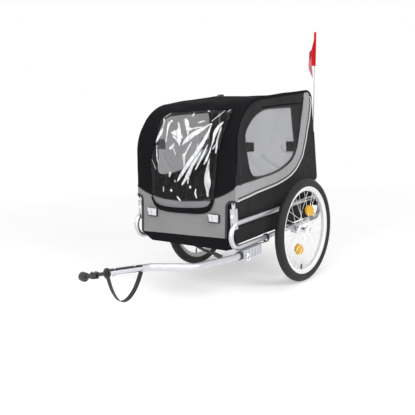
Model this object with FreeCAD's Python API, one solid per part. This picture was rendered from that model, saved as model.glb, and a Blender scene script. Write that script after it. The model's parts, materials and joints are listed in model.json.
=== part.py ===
"""Two-wheeled dog bike trailer with a folding fabric cabin, a tow bar and a hitch.

Millimetres. +X is the trailer's left, -Y is the direction of travel, +Z is up, z = 0 is the ground.
Pieces are drawn with the wheel axis at Y = 0 and then moved so that the origin is the middle of the
trailer's footprint.
"""
import math
import os

import FreeCAD
import Part

V = FreeCAD.Vector

# Fits
SEAT_GAP = 0.3
PIN_CLEARANCE = 0.05
BEARING_CLEARANCE = 0.03
SINK = 1.5

# Wheels
TYRE_RADIUS = 250.0
TYRE_WIDTH = 44.0
TYRE_WALL = 3.0
WHEEL_OUTSET = 51.0
TYRE_HEIGHT = 38.0
RIM_DEPTH = 21.0
RIM_WIDTH = 27.0
RIM_WALL = 2.0
SPOKE_COUNT = 28
SPOKE_RADIUS = 1.0
SPOKE_CROSS_DEG = 52.0
WHEEL_REST_DEG = -11.6
HUB_LENGTH = 62.0
HUB_BARREL_RADIUS = 13.0
HUB_FLANGE_RADIUS = 24.0
HUB_FLANGE_THICK = 4.0
HUB_FLANGE_INSET = 8.0
BEARING_RADIUS = 10.5
BEARING_WIDTH = 8.0
AXLE_RADIUS = 6.0
AXLE_CAP_RADIUS = 11.0
AXLE_CAP_LENGTH = 10.0
AXLE_CAP_FLOOR = 1.0
BUTTON_RADIUS = 3.5
BUTTON_PROUD = 5.0
BUTTON_TRAVEL = 4.0
WHEEL_REFLECTOR_INSET = 107.0
WHEEL_REFLECTOR_LENGTH = 76.0
WHEEL_REFLECTOR_HEIGHT = 51.0
WHEEL_REFLECTOR_THICK = 9.0
REFLECTOR_SPOKES = (3, 16)
VALVE_RADIUS = 3.5
VALVE_LENGTH = 24.0
VALVE_REST_DEG = -10.9

# Chassis
LOOP_INSET = 4.0
LOOP_TUBE_RADIUS = 11.0
TUBE_WALL = 1.6
LOOP_BOTTOM_Z = 268.0
LOOP_HEIGHT = 109.0
LOOP_FRONT_PROUD = 3.0
LOOP_REAR_PROUD = 14.0
FRONT_TUBE_INSET = 60.0
REAR_TUBE_INSET = 48.0
AXLE_BELOW_LOOP = 18.0
AXLE_BRACKET_LENGTH = 64.0
AXLE_BRACKET_DROP = 34.0
AXLE_BRACKET_WIDTH = 27.5
FLOOR_THICK = 6.0

# Cabin outline in the side view, outer face of the fabric
CABIN_HALF_WIDTH = 278.0
CLOTH = 3.0
CABIN_HANG = 6.0
FRONT_FOOT_Y = -530.0
FRONT_LEAN = 62.0
ROOF_FRONT_Z = 893.0
ROOF_SLOPE = 17.0
REAR_LEAN = 48.0
REAR_WAIST_Y = 238.0
WAIST_RISE = 25.0
FRONT_BEND_RADIUS = 210.0
REAR_BEND_RADIUS = 62.0
TUB_RISE = 38.0
TUB_CLEARANCE = 3.0
PANEL_INSET = 8.0
POCKET_FRONT_DEPTH = 46.0
POCKET_REAR_DEPTH = 33.0
POCKET_RISE = 55.0

# Side window, front cover and rear door
WINDOW_DROP = 51.0
WINDOW_RISE = 82.0
WINDOW_FRONT_INSET = 56.0
WINDOW_REAR_INSET = 175.0
WINDOW_TOP_STEP = 39.0
WINDOW_FOOT_STEP = 44.0
WINDOW_RADII = (12.0, 150.0, 28.0, 110.0)
COVER_LAP = 9.0
COVER_DROP = 43.0
COVER_BOTTOM_INSET = 95.0
COVER_TOP_INSET = 70.0
COVER_RIM = 14.0
COVER_THICK = 2.0
DOORWAY_OVERLAP = 26.0
COVER_CORNER_RADIUS = 45.0
REAR_DOOR_INSET = 88.0
REAR_DOOR_DROP = 120.0

# Folding side frames and roof bars
FRAME_TUBE_RADIUS = 9.0
HINGE_RISE = 31.0
KNEE_RISE = 62.0
KNEE_RADIUS = 90.0
NEST = 24.0
HINGE_PIN_RADIUS = 4.0
HINGE_HEAD_RADIUS = 6.5
HINGE_HEAD_LENGTH = 3.0
HINGE_PLATE = 3.0
HINGE_PLATE_GAP = 0.4
HINGE_PLATE_ABOVE = 32.0
HINGE_PLATE_BELOW = 25.0
ROOF_BAR_INSETS = (318.0, 100.0)
ROOF_BAR_RADIUS = 8.0
ROOF_BAR_SHORT = 15.7
LUG_WIDTH = 14.0
LUG_THICK = 5.0

# Tow bar, receiver and hitch
TOW_OUTSET = 9.0
TOW_DROP = 32.0
TOW_RADIUS = 15.0
TOW_TAIL_INSET = 8.0
TOW_STRAIGHT_REACH = 10.0
TOW_ELBOW_STEP = (-21.0, -242.0, 19.0)
TOW_NOSE_STEP = (-134.0, -377.0, 39.0)
TOW_BEND_RADII = (300.0, 110.0, 60.0)
TOW_NOSE_RUN = 45.0
HITCH_EYE_STEP = (-178.0, -675.0, 75.0)
RECEIVER_INSET = 45.0
RECEIVER_LENGTH = 141.0
RECEIVER_HALF_WIDTH = 19.0
RECEIVER_DEPTH = 22.0
RECEIVER_RIB_COUNT = 6
RECEIVER_RIB = 2.5
BUSH_LENGTH = 14.0
BUSH_WALL = 3.5
LOCK_PIN_RADIUS = 4.0
LOCK_PIN_INSET = 27.0
LOCK_RING_RADIUS = 12.0
LOCK_RING_WIRE = 1.5
ARM_RADIUS = 11.0
ARM_START = 20.0
ARM_END = 200.0
FLANGE_RADIUS = 20.0
FLANGE_THICK = 6.0
SHANK_RADIUS = 7.0
SHANK_END = 250.0
COLLAR_RADIUS = 12.0
COLLAR_LENGTH = 7.0
FORK_PIVOT = 262.0
FORK_HALF_GAP = 7.0
FORK_PLATE = 5.0
FORK_RADIUS = 11.0
FORK_PIN_RADIUS = 4.0
EYE_RADIUS = 17.0
EYE_BORE_RADIUS = 6.0
EYE_WIDTH = 19.0
BOLT_RADIUS = 3.0
BOLT_HEAD_RADIUS = 6.0
BOLT_HEAD_LENGTH = 4.0
BOLT_STATIONS = (78.0, 172.0)

# Straps, reflectors and flag
STRAP_WIDTH = 25.0
STRAP_THICK = 2.5
STRAP_ROUTE = ((188.0, 0.0), (168.0, 45.0), (130.0, 100.0), (98.0, 104.0), (62.0, 62.0), (50.0, 0.0))
STRAP_BENDS = (60.0, 40.0, 40.0, 60.0)
STRAP_COVER_HALF = 9.0
TETHER_RUN = 117.0
TETHER_RISE = 8.0
TETHER_INSET = 7.0
TETHER_FALL = 32.0
TETHER_WIDTH = 14.0
CLIP_LENGTH = 40.0
CLIP_WIDTH = 18.0
CLIP_THICK = 8.0
REFLECTOR_INSET = 6.0
REFLECTOR_DROP = 10.0
REFLECTOR_WIDTH = 54.0
REFLECTOR_HEIGHT = 34.0
REFLECTOR_THICK = 8.0
FLAG_INSET = 42.0
FLAG_RISE = 62.0
FLAG_ABOVE_ROOF = 283.0
FLAG_LEAN_DEG = 4.2
POLE_RADIUS = 3.0
SOCKET_LENGTH = 90.0
SOCKET_WALL = 4.0
PENNANT_HEIGHT = 165.0
PENNANT_REACH = 46.0
PENNANT_DROP = 235.0
PENNANT_BULGE_DROP = 110.0
PENNANT_FOLD_DROP = 200.0
PENNANT_TIP_GAP = 6.0
PENNANT_THICK = 3.0

# Derived places
RIM_OUTER_RADIUS = TYRE_RADIUS - TYRE_HEIGHT
WHEEL_REFLECTOR_RADIUS = RIM_OUTER_RADIUS - WHEEL_REFLECTOR_INSET
LOOP_X = CABIN_HALF_WIDTH - LOOP_INSET
WHEEL_X = LOOP_X + WHEEL_OUTSET
TUB_HALF_WIDTH = LOOP_X - LOOP_TUBE_RADIUS - TUB_CLEARANCE
PANEL_HALF_WIDTH = TUB_HALF_WIDTH - PANEL_INSET
COVER_BOTTOM_HALF = CABIN_HALF_WIDTH - COVER_BOTTOM_INSET
COVER_TOP_HALF = CABIN_HALF_WIDTH - COVER_TOP_INSET
REAR_DOOR_HALF = CABIN_HALF_WIDTH - REAR_DOOR_INSET
REFLECTOR_X = COVER_BOTTOM_HALF - REFLECTOR_INSET
TOW_X = LOOP_X + TOW_OUTSET
FLAG_X = LOOP_X - FLAG_INSET
TETHER_END_X = COVER_BOTTOM_HALF - TETHER_INSET
TETHER_START_X = TETHER_END_X - TETHER_RUN
LOOP_TOP_Z = LOOP_BOTTOM_Z + LOOP_HEIGHT
CABIN_BOTTOM_Z = LOOP_BOTTOM_Z - CABIN_HANG
TUB_TOP_Z = LOOP_TOP_Z + TUB_RISE
POCKET_TOP_Z = TUB_TOP_Z + POCKET_RISE
REAR_WAIST_Z = TUB_TOP_Z + WAIST_RISE
HINGE_Z = LOOP_TOP_Z + HINGE_RISE
KNEE_Z = HINGE_Z + KNEE_RISE
HINGE_TOP_Z = HINGE_Z + HINGE_PLATE_ABOVE
HINGE_BOTTOM_Z = LOOP_TOP_Z - HINGE_PLATE_BELOW
COVER_BOTTOM_Z = TUB_TOP_Z - COVER_LAP
COVER_TOP_Z = ROOF_FRONT_Z - COVER_DROP
ROOF_REAR_Z = ROOF_FRONT_Z + ROOF_SLOPE
WINDOW_TOP_Z = ROOF_FRONT_Z - WINDOW_DROP
WINDOW_BOTTOM_Z = POCKET_TOP_Z + WINDOW_RISE
REAR_DOOR_BOTTOM_Z = POCKET_TOP_Z
REAR_DOOR_TOP_Z = ROOF_REAR_Z - REAR_DOOR_DROP
REFLECTOR_Z = COVER_BOTTOM_Z - REFLECTOR_DROP
TETHER_START_Z = CABIN_BOTTOM_Z + TETHER_RISE
TETHER_END_Z = TETHER_START_Z - TETHER_FALL
FLAG_FOOT_Z = LOOP_BOTTOM_Z + FLAG_RISE
FLAG_TOP_Z = ROOF_REAR_Z + FLAG_ABOVE_ROOF
TOW_Z = LOOP_BOTTOM_Z - TOW_DROP
RECEIVER_BOTTOM_Z = TOW_Z - RECEIVER_DEPTH
LOOP_FRONT_Y = FRONT_FOOT_Y - LOOP_FRONT_PROUD
LOOP_REAR_Y = REAR_WAIST_Y + LOOP_REAR_PROUD
FLAG_FOOT_Y = LOOP_REAR_Y
FRONT_TOP_Y = FRONT_FOOT_Y + FRONT_LEAN
REAR_TOP_Y = REAR_WAIST_Y - REAR_LEAN
POCKET_FRONT_Y = FRONT_FOOT_Y + POCKET_FRONT_DEPTH
POCKET_REAR_Y = REAR_WAIST_Y - POCKET_REAR_DEPTH
WINDOW_FRONT_Y = FRONT_TOP_Y + WINDOW_FRONT_INSET
WINDOW_FOOT_Y = WINDOW_FRONT_Y + WINDOW_FOOT_STEP
WINDOW_REAR_Y = REAR_TOP_Y - WINDOW_REAR_INSET
WINDOW_TOP_REAR_Y = WINDOW_REAR_Y - WINDOW_TOP_STEP
RECEIVER_FRONT_Y = FRONT_FOOT_Y + RECEIVER_INSET
RECEIVER_REAR_Y = RECEIVER_FRONT_Y + RECEIVER_LENGTH
LOCK_PIN_Y = RECEIVER_FRONT_Y + LOCK_PIN_INSET
TOW_TAIL_Y = RECEIVER_REAR_Y - TOW_TAIL_INSET
TOW_STRAIGHT_Y = FRONT_FOOT_Y - TOW_STRAIGHT_REACH
TOW_START = (TOW_X, FRONT_FOOT_Y, TOW_Z)
TOW_ELBOW = tuple(a + b for a, b in zip(TOW_START, TOW_ELBOW_STEP))
TOW_NOSE = tuple(a + b for a, b in zip(TOW_START, TOW_NOSE_STEP))
HITCH_EYE = tuple(a + b for a, b in zip(TOW_START, HITCH_EYE_STEP))
AXLE_Z = LOOP_BOTTOM_Z - AXLE_BELOW_LOOP
CROSS_TUBE_YS = {"front_cross_tube": FRONT_FOOT_Y + FRONT_TUBE_INSET, "axle_beam": 0.0,
                 "rear_cross_tube": REAR_WAIST_Y - REAR_TUBE_INSET}
ROOF_BAR_YS = (FRONT_TOP_Y + ROOF_BAR_INSETS[0], REAR_TOP_Y - ROOF_BAR_INSETS[1])
FRAME_INSET = CLOTH + SEAT_GAP + FRAME_TUBE_RADIUS
FRAME_X = CABIN_HALF_WIDTH - FRAME_INSET
ROOF_BAR_HALF = FRAME_X - ROOF_BAR_SHORT
LOOP_BEND_RADIUS = (LOOP_TOP_Z - LOOP_BOTTOM_Z) / 2
LOOP_MIDDLE_Z = (LOOP_TOP_Z + LOOP_BOTTOM_Z) / 2
RAIL_TOP_Z = LOOP_TOP_Z + LOOP_TUBE_RADIUS + SEAT_GAP
FLOOR_Z = LOOP_BOTTOM_Z + LOOP_TUBE_RADIUS + SEAT_GAP
FAR = 2000.0

nodes = {}


def box(x0, x1, y0, y1, z0, z1):
    """Box between two corners."""
    return Part.makeBox(x1 - x0, y1 - y0, z1 - z0, V(x0, y0, z0))


def rod(start, end, radius):
    """Round bar from one point to another."""
    axis = end - start
    return Part.makeCylinder(radius, axis.Length, start, axis)


def mirrored(shape):
    """The same piece on the trailer's other side."""
    return shape.mirror(V(0, 0, 0), V(1, 0, 0))


def rounded_edges(points, radii, closed=False):
    """Straight runs joined by tangent arcs; radii belong to the corners, in order."""
    count = len(points)
    corners = range(count) if closed else range(1, count - 1)
    trims = {}
    for place, corner in enumerate(corners):
        before = (points[corner - 1] - points[corner]).normalize()
        after = (points[(corner + 1) % count] - points[corner]).normalize()
        half_turn = (math.pi - before.getAngle(after)) / 2
        reach = radii[place] * math.tan(half_turn)
        start = points[corner] + before * reach
        end = points[corner] + after * reach
        bisector = (before + after).normalize()
        middle = points[corner] + bisector * (radii[place] / math.cos(half_turn) - radii[place])
        trims[corner] = (start, middle, end)
    edges = []
    for index in range(count if closed else count - 1):
        following = (index + 1) % count
        start = trims[index][2] if index in trims else points[index]
        end = trims[following][0] if following in trims else points[following]
        edges.append(Part.LineSegment(start, end).toShape())
        if following in trims:
            edges.append(Part.Arc(*trims[following]).toShape())
    return edges


def swept(edges, radius):
    """Round bar along a path of runs and arcs."""
    path = Part.Wire(edges)
    first = edges[0]
    start = first.valueAt(first.FirstParameter)
    section = Part.Wire(Part.makeCircle(radius, start, first.tangentAt(first.FirstParameter)))
    return path.makePipeShell([section], True, False)


def tube(edges, radius, wall):
    """Hollow tube along a path of runs and arcs."""
    return swept(edges, radius).cut(swept(edges, radius - wall))


def side_point(y, z):
    """Point of a side view, on the middle plane."""
    return V(0, y, z)


def cabin_outline(inset, nest=0.0):
    """Corners and radii of the cabin's side view, moved inward from the outer fabric face."""
    feet = [side_point(FRONT_FOOT_Y, CABIN_BOTTOM_Z), side_point(FRONT_TOP_Y, ROOF_FRONT_Z),
            side_point(REAR_TOP_Y, ROOF_REAR_Z), side_point(REAR_WAIST_Y, REAR_WAIST_Z),
            side_point(REAR_WAIST_Y, CABIN_BOTTOM_Z)]
    lines = []
    for start, end in zip(feet, feet[1:]):
        along = (end - start).normalize()
        inward = V(0, along.z, -along.y)
        lines.append((start + inward * (inset + nest), along))
    corners = [lines[0][0]]
    for (base, along), (other, across) in zip(lines, lines[1:]):
        gap = other - base
        share = (gap.y * across.z - gap.z * across.y) / (along.y * across.z - along.z * across.y)
        corners.append(base + along * share)
    corners.append(lines[-1][0] + lines[-1][1] * (feet[-1] - feet[-2]).Length)
    radii = [FRONT_BEND_RADIUS - inset - nest, REAR_BEND_RADIUS - inset, FRONT_BEND_RADIUS]
    return corners, radii


def closed_outline(inset):
    """Edges of the cabin's side view, closed along the bottom."""
    corners, radii = cabin_outline(inset)
    edges = rounded_edges(corners, radii)
    edges.append(Part.LineSegment(corners[-1], corners[0]).toShape())
    return edges


def slab(edges, x0, x1):
    """Side-view outline given thickness along X."""
    face = Part.Face(Part.Wire(edges))
    face.translate(V(x0, 0, 0))
    return face.extrude(V(x1 - x0, 0, 0))


def wrap(outer_inset, thickness, half_width):
    """Cloth that goes over the cabin from the front foot to the rear foot."""
    outer = slab(closed_outline(outer_inset), -half_width, half_width)
    inner = slab(closed_outline(outer_inset + thickness), -half_width, half_width)
    return outer.cut(inner)


def front_outline(bottom_half, top_half, z0, z1, radius):
    """Prism through the cabin front, seen from ahead, wider at the top, with rounded corners."""
    corners = [V(-bottom_half, -FAR, z0), V(bottom_half, -FAR, z0), V(top_half, -FAR, z1), V(-top_half, -FAR, z1)]
    face = Part.Face(Part.Wire(rounded_edges(corners, [radius] * 4, closed=True)))
    return face.extrude(V(0, FAR + WINDOW_FRONT_Y + FRONT_BEND_RADIUS, 0))


def make_tyre():
    """Tyre: a round section, hollow and open towards the rim."""
    half = TYRE_WIDTH / 2
    middle = V(0, 0, TYRE_RADIUS - half)
    outer = Part.Face(Part.Wire(Part.makeCircle(half, middle, V(0, 1, 0))))
    hollow = Part.Face(Part.Wire(Part.makeCircle(half - TYRE_WALL, middle, V(0, 1, 0))))
    bead = RIM_OUTER_RADIUS + SEAT_GAP
    open_side = Part.makePlane(TYRE_WIDTH, bead, V(-half, 0, 0), V(0, -1, 0), V(1, 0, 0))
    section = outer.cut(hollow).cut(open_side)
    return section.revolve(V(0, 0, 0), V(1, 0, 0), 360)


def make_rim():
    """Rim: a deep channel, with walls out to the tyre's beads."""
    half = RIM_WIDTH / 2
    inner = RIM_OUTER_RADIUS - RIM_DEPTH
    floor = inner + RIM_DEPTH / 2
    taper = half / 2
    outside = [(-half, RIM_OUTER_RADIUS), (-half, floor), (-taper, inner), (taper, inner), (half, floor),
               (half, RIM_OUTER_RADIUS), (half - RIM_WALL, RIM_OUTER_RADIUS), (half - RIM_WALL, floor + RIM_WALL),
               (RIM_WALL - half, floor + RIM_WALL), (RIM_WALL - half, RIM_OUTER_RADIUS)]
    loop = [V(x, 0, r) for x, r in outside]
    hollow = [V(x, 0, r) for x, r in ((-half + 2 * RIM_WALL, floor), (-taper, inner + RIM_WALL),
                                      (taper, inner + RIM_WALL), (half - 2 * RIM_WALL, floor))]
    face = Part.Face(Part.makePolygon(loop + loop[:1])).cut(Part.Face(Part.makePolygon(hollow + hollow[:1])))
    return face.revolve(V(0, 0, 0), V(1, 0, 0), 360)


def make_hub():
    """Hub shell with two spoke flanges, bored for its bearings."""
    half = HUB_LENGTH / 2
    shell = rod(V(-half, 0, 0), V(half, 0, 0), HUB_BARREL_RADIUS)
    for side in (-1, 1):
        flange = flange_middle(side)
        shell = shell.fuse(rod(V(flange - HUB_FLANGE_THICK / 2, 0, 0), V(flange + HUB_FLANGE_THICK / 2, 0, 0),
                               HUB_FLANGE_RADIUS))
        shell = shell.cut(bearing_ring(side, 0.0))
    return shell.removeSplitter().cut(rod(V(-half, 0, 0), V(half, 0, 0), AXLE_RADIUS + 2))


def flange_middle(side):
    """Distance of a spoke flange from the wheel's middle plane."""
    return side * (HUB_LENGTH / 2 - HUB_FLANGE_INSET)


def bearing_ring(side, bore):
    """Bearing at one end of the hub, or its seat when the bore is nothing."""
    end = side * HUB_LENGTH / 2
    inner = end - side * BEARING_WIDTH
    ring = rod(V(min(end, inner), 0, 0), V(max(end, inner), 0, 0), BEARING_RADIUS)
    if bore:
        ring = ring.cut(rod(V(-HUB_LENGTH, 0, 0), V(HUB_LENGTH, 0, 0), bore))
    return ring


def spoke_ends(index):
    """Where a spoke starts in its flange and ends in the rim."""
    side = 1 if index % 2 else -1
    lean = SPOKE_CROSS_DEG * (1 if index % 4 < 2 else -1)
    rim_angle = math.radians(WHEEL_REST_DEG + 360.0 * index / SPOKE_COUNT)
    hub_angle = rim_angle + math.radians(lean)
    foot_radius = HUB_FLANGE_RADIUS - SINK
    tip_radius = RIM_OUTER_RADIUS - RIM_DEPTH + SINK
    face = math.copysign(HUB_FLANGE_THICK / 2, lean)
    foot = V(flange_middle(side) + face, foot_radius * math.sin(hub_angle), foot_radius * math.cos(hub_angle))
    tip = V(side * SPOKE_RADIUS, tip_radius * math.sin(rim_angle), tip_radius * math.cos(rim_angle))
    return foot, tip


def make_spokes():
    """Crossed spokes from alternate flanges to the rim, sunk a little into both."""
    return Part.makeCompound([rod(*spoke_ends(index), SPOKE_RADIUS) for index in range(SPOKE_COUNT)])


def make_wheel_reflectors():
    """Two oval reflectors laid along the wheel: the upper grips an outer spoke, the lower an inner one."""
    lenses = []
    for index in REFLECTOR_SPOKES:
        foot, tip = spoke_ends(index)
        middle = foot + (tip - foot) * ((WHEEL_REFLECTOR_RADIUS - foot.Length) / (tip.Length - foot.Length))
        lens = Part.makeCylinder(WHEEL_REFLECTOR_HEIGHT / 2, WHEEL_REFLECTOR_THICK, V(0, 0, 0), V(1, 0, 0))
        stretch = FreeCAD.Matrix()
        stretch.scale(1, WHEEL_REFLECTOR_LENGTH / WHEEL_REFLECTOR_HEIGHT, 1)
        lens = lens.transformGeometry(stretch)
        lens.rotate(V(0, 0, 0), V(1, 0, 0), -math.degrees(math.atan2(middle.y, middle.z)))
        lens.translate(middle - V(WHEEL_REFLECTOR_THICK / 2, 0, 0))
        for other in range(SPOKE_COUNT):
            lens = lens.cut(rod(*spoke_ends(other), SPOKE_RADIUS + PIN_CLEARANCE))
        lenses.append(biggest(lens))
    return Part.makeCompound(lenses)


def make_valve():
    """Tyre valve with its cap, standing in from the rim."""
    rim_inner = RIM_OUTER_RADIUS - RIM_DEPTH
    stem = rod(V(0, 0, -rim_inner), V(0, 0, VALVE_LENGTH - rim_inner), VALVE_RADIUS)
    stem.rotate(V(0, 0, 0), V(1, 0, 0), VALVE_REST_DEG)
    return stem


def add_wheel(name, side):
    """One wheel on its fixed axle, with the push button that frees the axle."""
    pieces = {"tyre": make_tyre(), "rim": make_rim(), "hub": make_hub(), "spokes": make_spokes(),
              "bearings": Part.makeCompound([bearing_ring(end, AXLE_RADIUS + BEARING_CLEARANCE) for end in (-1, 1)]),
              "wheel_reflectors": make_wheel_reflectors(), "valve": make_valve()}
    for piece, shape in pieces.items():
        shape.translate(V(WHEEL_X, 0, AXLE_Z))
        nodes[name + "_" + piece] = shape if side > 0 else mirrored(shape)
    inner = LOOP_X - AXLE_BRACKET_WIDTH / 2
    outer = WHEEL_X + HUB_LENGTH / 2 + SEAT_GAP
    axle = rod(V(inner, 0, AXLE_Z), V(outer, 0, AXLE_Z), AXLE_RADIUS)
    cap = rod(V(outer, 0, AXLE_Z), V(outer + AXLE_CAP_LENGTH, 0, AXLE_Z), AXLE_CAP_RADIUS)
    socket_floor = outer + AXLE_CAP_FLOOR
    socket = rod(V(socket_floor, 0, AXLE_Z), V(outer + AXLE_CAP_LENGTH, 0, AXLE_Z),
                 BUTTON_RADIUS + PIN_CLEARANCE)
    axle = axle.fuse(cap).removeSplitter().cut(socket)
    button = rod(V(socket_floor + BUTTON_TRAVEL + SEAT_GAP, 0, AXLE_Z),
                 V(outer + AXLE_CAP_LENGTH + BUTTON_PROUD, 0, AXLE_Z), BUTTON_RADIUS)
    nodes[name + "_axle"] = axle if side > 0 else mirrored(axle)
    nodes[name + "_axle_button"] = button if side > 0 else mirrored(button)


def loop_edges():
    """Racetrack path of a side rail, on the trailer's left."""
    front = LOOP_FRONT_Y + LOOP_BEND_RADIUS
    rear = LOOP_REAR_Y - LOOP_BEND_RADIUS
    low_front, high_front = V(LOOP_X, front, LOOP_BOTTOM_Z), V(LOOP_X, front, LOOP_TOP_Z)
    low_rear, high_rear = V(LOOP_X, rear, LOOP_BOTTOM_Z), V(LOOP_X, rear, LOOP_TOP_Z)
    return [Part.LineSegment(low_rear, low_front).toShape(),
            Part.Arc(low_front, V(LOOP_X, LOOP_FRONT_Y, LOOP_MIDDLE_Z), high_front).toShape(),
            Part.LineSegment(high_front, high_rear).toShape(),
            Part.Arc(high_rear, V(LOOP_X, LOOP_REAR_Y, LOOP_MIDDLE_Z), low_rear).toShape()]


def add_chassis():
    """Side rails, cross tubes, axle brackets and floor."""
    loop = tube(loop_edges(), LOOP_TUBE_RADIUS, TUBE_WALL)
    solid_loop = swept(loop_edges(), LOOP_TUBE_RADIUS)
    nodes["left_side_loop"] = loop
    nodes["right_side_loop"] = mirrored(loop)
    for name, y in CROSS_TUBE_YS.items():
        run = [Part.LineSegment(V(-LOOP_X, y, LOOP_BOTTOM_Z), V(LOOP_X, y, LOOP_BOTTOM_Z)).toShape()]
        cross = tube(run, LOOP_TUBE_RADIUS, TUBE_WALL).cut(solid_loop).cut(mirrored(solid_loop))
        nodes[name] = biggest(cross)
    bottom = LOOP_BOTTOM_Z - AXLE_BRACKET_DROP
    half = AXLE_BRACKET_LENGTH / 2
    profile = [V(LOOP_X, -half, LOOP_BOTTOM_Z), V(LOOP_X, half, LOOP_BOTTOM_Z), V(LOOP_X, half / 2, bottom),
               V(LOOP_X, -half / 2, bottom)]
    plate = Part.Face(Part.Wire(rounded_edges(profile, [SINK, SINK, half / 4, half / 4], closed=True)))
    plate.translate(V(-AXLE_BRACKET_WIDTH / 2, 0, 0))
    bracket = plate.extrude(V(AXLE_BRACKET_WIDTH, 0, 0)).cut(solid_loop)
    bracket = bracket.cut(cross_tube_room("axle_beam"))
    bracket = bracket.cut(rod(V(0, 0, AXLE_Z), V(WHEEL_X, 0, AXLE_Z), AXLE_RADIUS + PIN_CLEARANCE))
    nodes["axle_brackets"] = Part.makeCompound([bracket, mirrored(bracket)])
    edge = TUB_HALF_WIDTH - CLOTH - SEAT_GAP
    front = front_face_y(FLOOR_Z + FLOOR_THICK) + CLOTH + 2 * SEAT_GAP
    nodes["floor_board"] = box(-edge, edge, front, REAR_WAIST_Y - CLOTH - SEAT_GAP, FLOOR_Z, FLOOR_Z + FLOOR_THICK)


def cross_tube_room(name):
    """Space that a cross tube takes up."""
    y = CROSS_TUBE_YS[name]
    return rod(V(-LOOP_X, y, LOOP_BOTTOM_Z), V(LOOP_X, y, LOOP_BOTTOM_Z), LOOP_TUBE_RADIUS)


def biggest(shape):
    """Largest solid of a cut piece."""
    return max(shape.Solids, key=lambda solid: solid.Volume)


def front_face_y(z):
    """Outer face of the cabin's straight front at a height."""
    share = (z - CABIN_BOTTOM_Z) / (ROOF_FRONT_Z - CABIN_BOTTOM_Z)
    return FRONT_FOOT_Y + share * (FRONT_TOP_Y - FRONT_FOOT_Y)


def hinge_ys():
    """Front and rear hinge places of a side frame."""
    lean = math.atan2(FRONT_TOP_Y - FRONT_FOOT_Y, ROOF_FRONT_Z - CABIN_BOTTOM_Z)
    front = front_face_y(KNEE_Z) + FRAME_INSET / math.cos(lean)
    return front, REAR_WAIST_Y - FRAME_INSET


def frame_edges(nest):
    """Path of a side frame: up from the front hinge, back along the roof, down to the rear hinge."""
    corners, radii = cabin_outline(FRAME_INSET, nest)
    front, rear = hinge_ys()
    path = [side_point(front, HINGE_Z), side_point(front, KNEE_Z), corners[1], corners[2],
            side_point(rear, REAR_WAIST_Z), side_point(rear, HINGE_Z)]
    for point in path:
        point.x = FRAME_X
    return rounded_edges(path, [KNEE_RADIUS, *radii[:2], KNEE_RADIUS])


def make_side_frame(nest):
    """One folding side frame with its hinge eyes and the lugs that the roof bars clip under."""
    edges = frame_edges(nest)
    bar = tube(edges, FRAME_TUBE_RADIUS, TUBE_WALL)
    core = swept(edges, FRAME_TUBE_RADIUS - TUBE_WALL)
    for y in hinge_ys():
        knuckle = Part.makeSphere(FRAME_TUBE_RADIUS, V(FRAME_X, y, HINGE_Z))
        pin = rod(V(FRAME_X, y - FAR, HINGE_Z), V(FRAME_X, y + FAR, HINGE_Z), HINGE_PIN_RADIUS + PIN_CLEARANCE)
        bar = bar.fuse(knuckle).cut(pin)
    for y in ROOF_BAR_YS:
        lug_top = roof_rail_z(y, nest)
        lug = box(ROOF_BAR_HALF - LUG_WIDTH, FRAME_X, y - LUG_WIDTH / 2, y + LUG_WIDTH / 2, lug_bottom(), lug_top)
        bar = bar.fuse(lug.cut(core))
    return bar.removeSplitter()


def roof_rail_z(y, nest):
    """Height of a side frame's roof run."""
    corners, _ = cabin_outline(FRAME_INSET, nest)
    share = (y - corners[1].y) / (corners[2].y - corners[1].y)
    return corners[1].z + share * (corners[2].z - corners[1].z)


def lug_bottom():
    """Height of the underside of the lugs, the same on both side frames."""
    return min(roof_rail_z(y, NEST) for y in ROOF_BAR_YS) - FRAME_TUBE_RADIUS - LUG_THICK


def make_hinge_bracket(y, loop_room):
    """Channel on the side rail that holds a hinge pin, open to the inside so that the frame can fold in."""
    inner = FRAME_X - FRAME_TUBE_RADIUS
    web = FRAME_X + FRAME_TUBE_RADIUS + HINGE_PLATE_GAP
    half = FRAME_TUBE_RADIUS + HINGE_PLATE_GAP
    channel = box(inner, web + HINGE_PLATE, y - half - HINGE_PLATE, y + half + HINGE_PLATE, HINGE_BOTTOM_Z, HINGE_TOP_Z)
    channel = channel.cut(box(inner - SINK, web, y - half, y + half, HINGE_BOTTOM_Z, HINGE_TOP_Z + SINK))
    pin = rod(V(FRAME_X, y - FAR, HINGE_Z), V(FRAME_X, y + FAR, HINGE_Z), HINGE_PIN_RADIUS + PIN_CLEARANCE)
    return biggest(channel.cut(loop_room).cut(pin))


def make_hinge_pin(y):
    """Hinge pin with a head outside each bracket plate."""
    reach = FRAME_TUBE_RADIUS + HINGE_PLATE_GAP + HINGE_PLATE
    pin = rod(V(FRAME_X, y - reach, HINGE_Z), V(FRAME_X, y + reach, HINGE_Z), HINGE_PIN_RADIUS)
    for side in (-1, 1):
        seat = V(FRAME_X, y + side * reach, HINGE_Z)
        pin = pin.fuse(rod(seat, seat + V(0, side * HINGE_HEAD_LENGTH, 0), HINGE_HEAD_RADIUS))
    return pin.removeSplitter()


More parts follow.
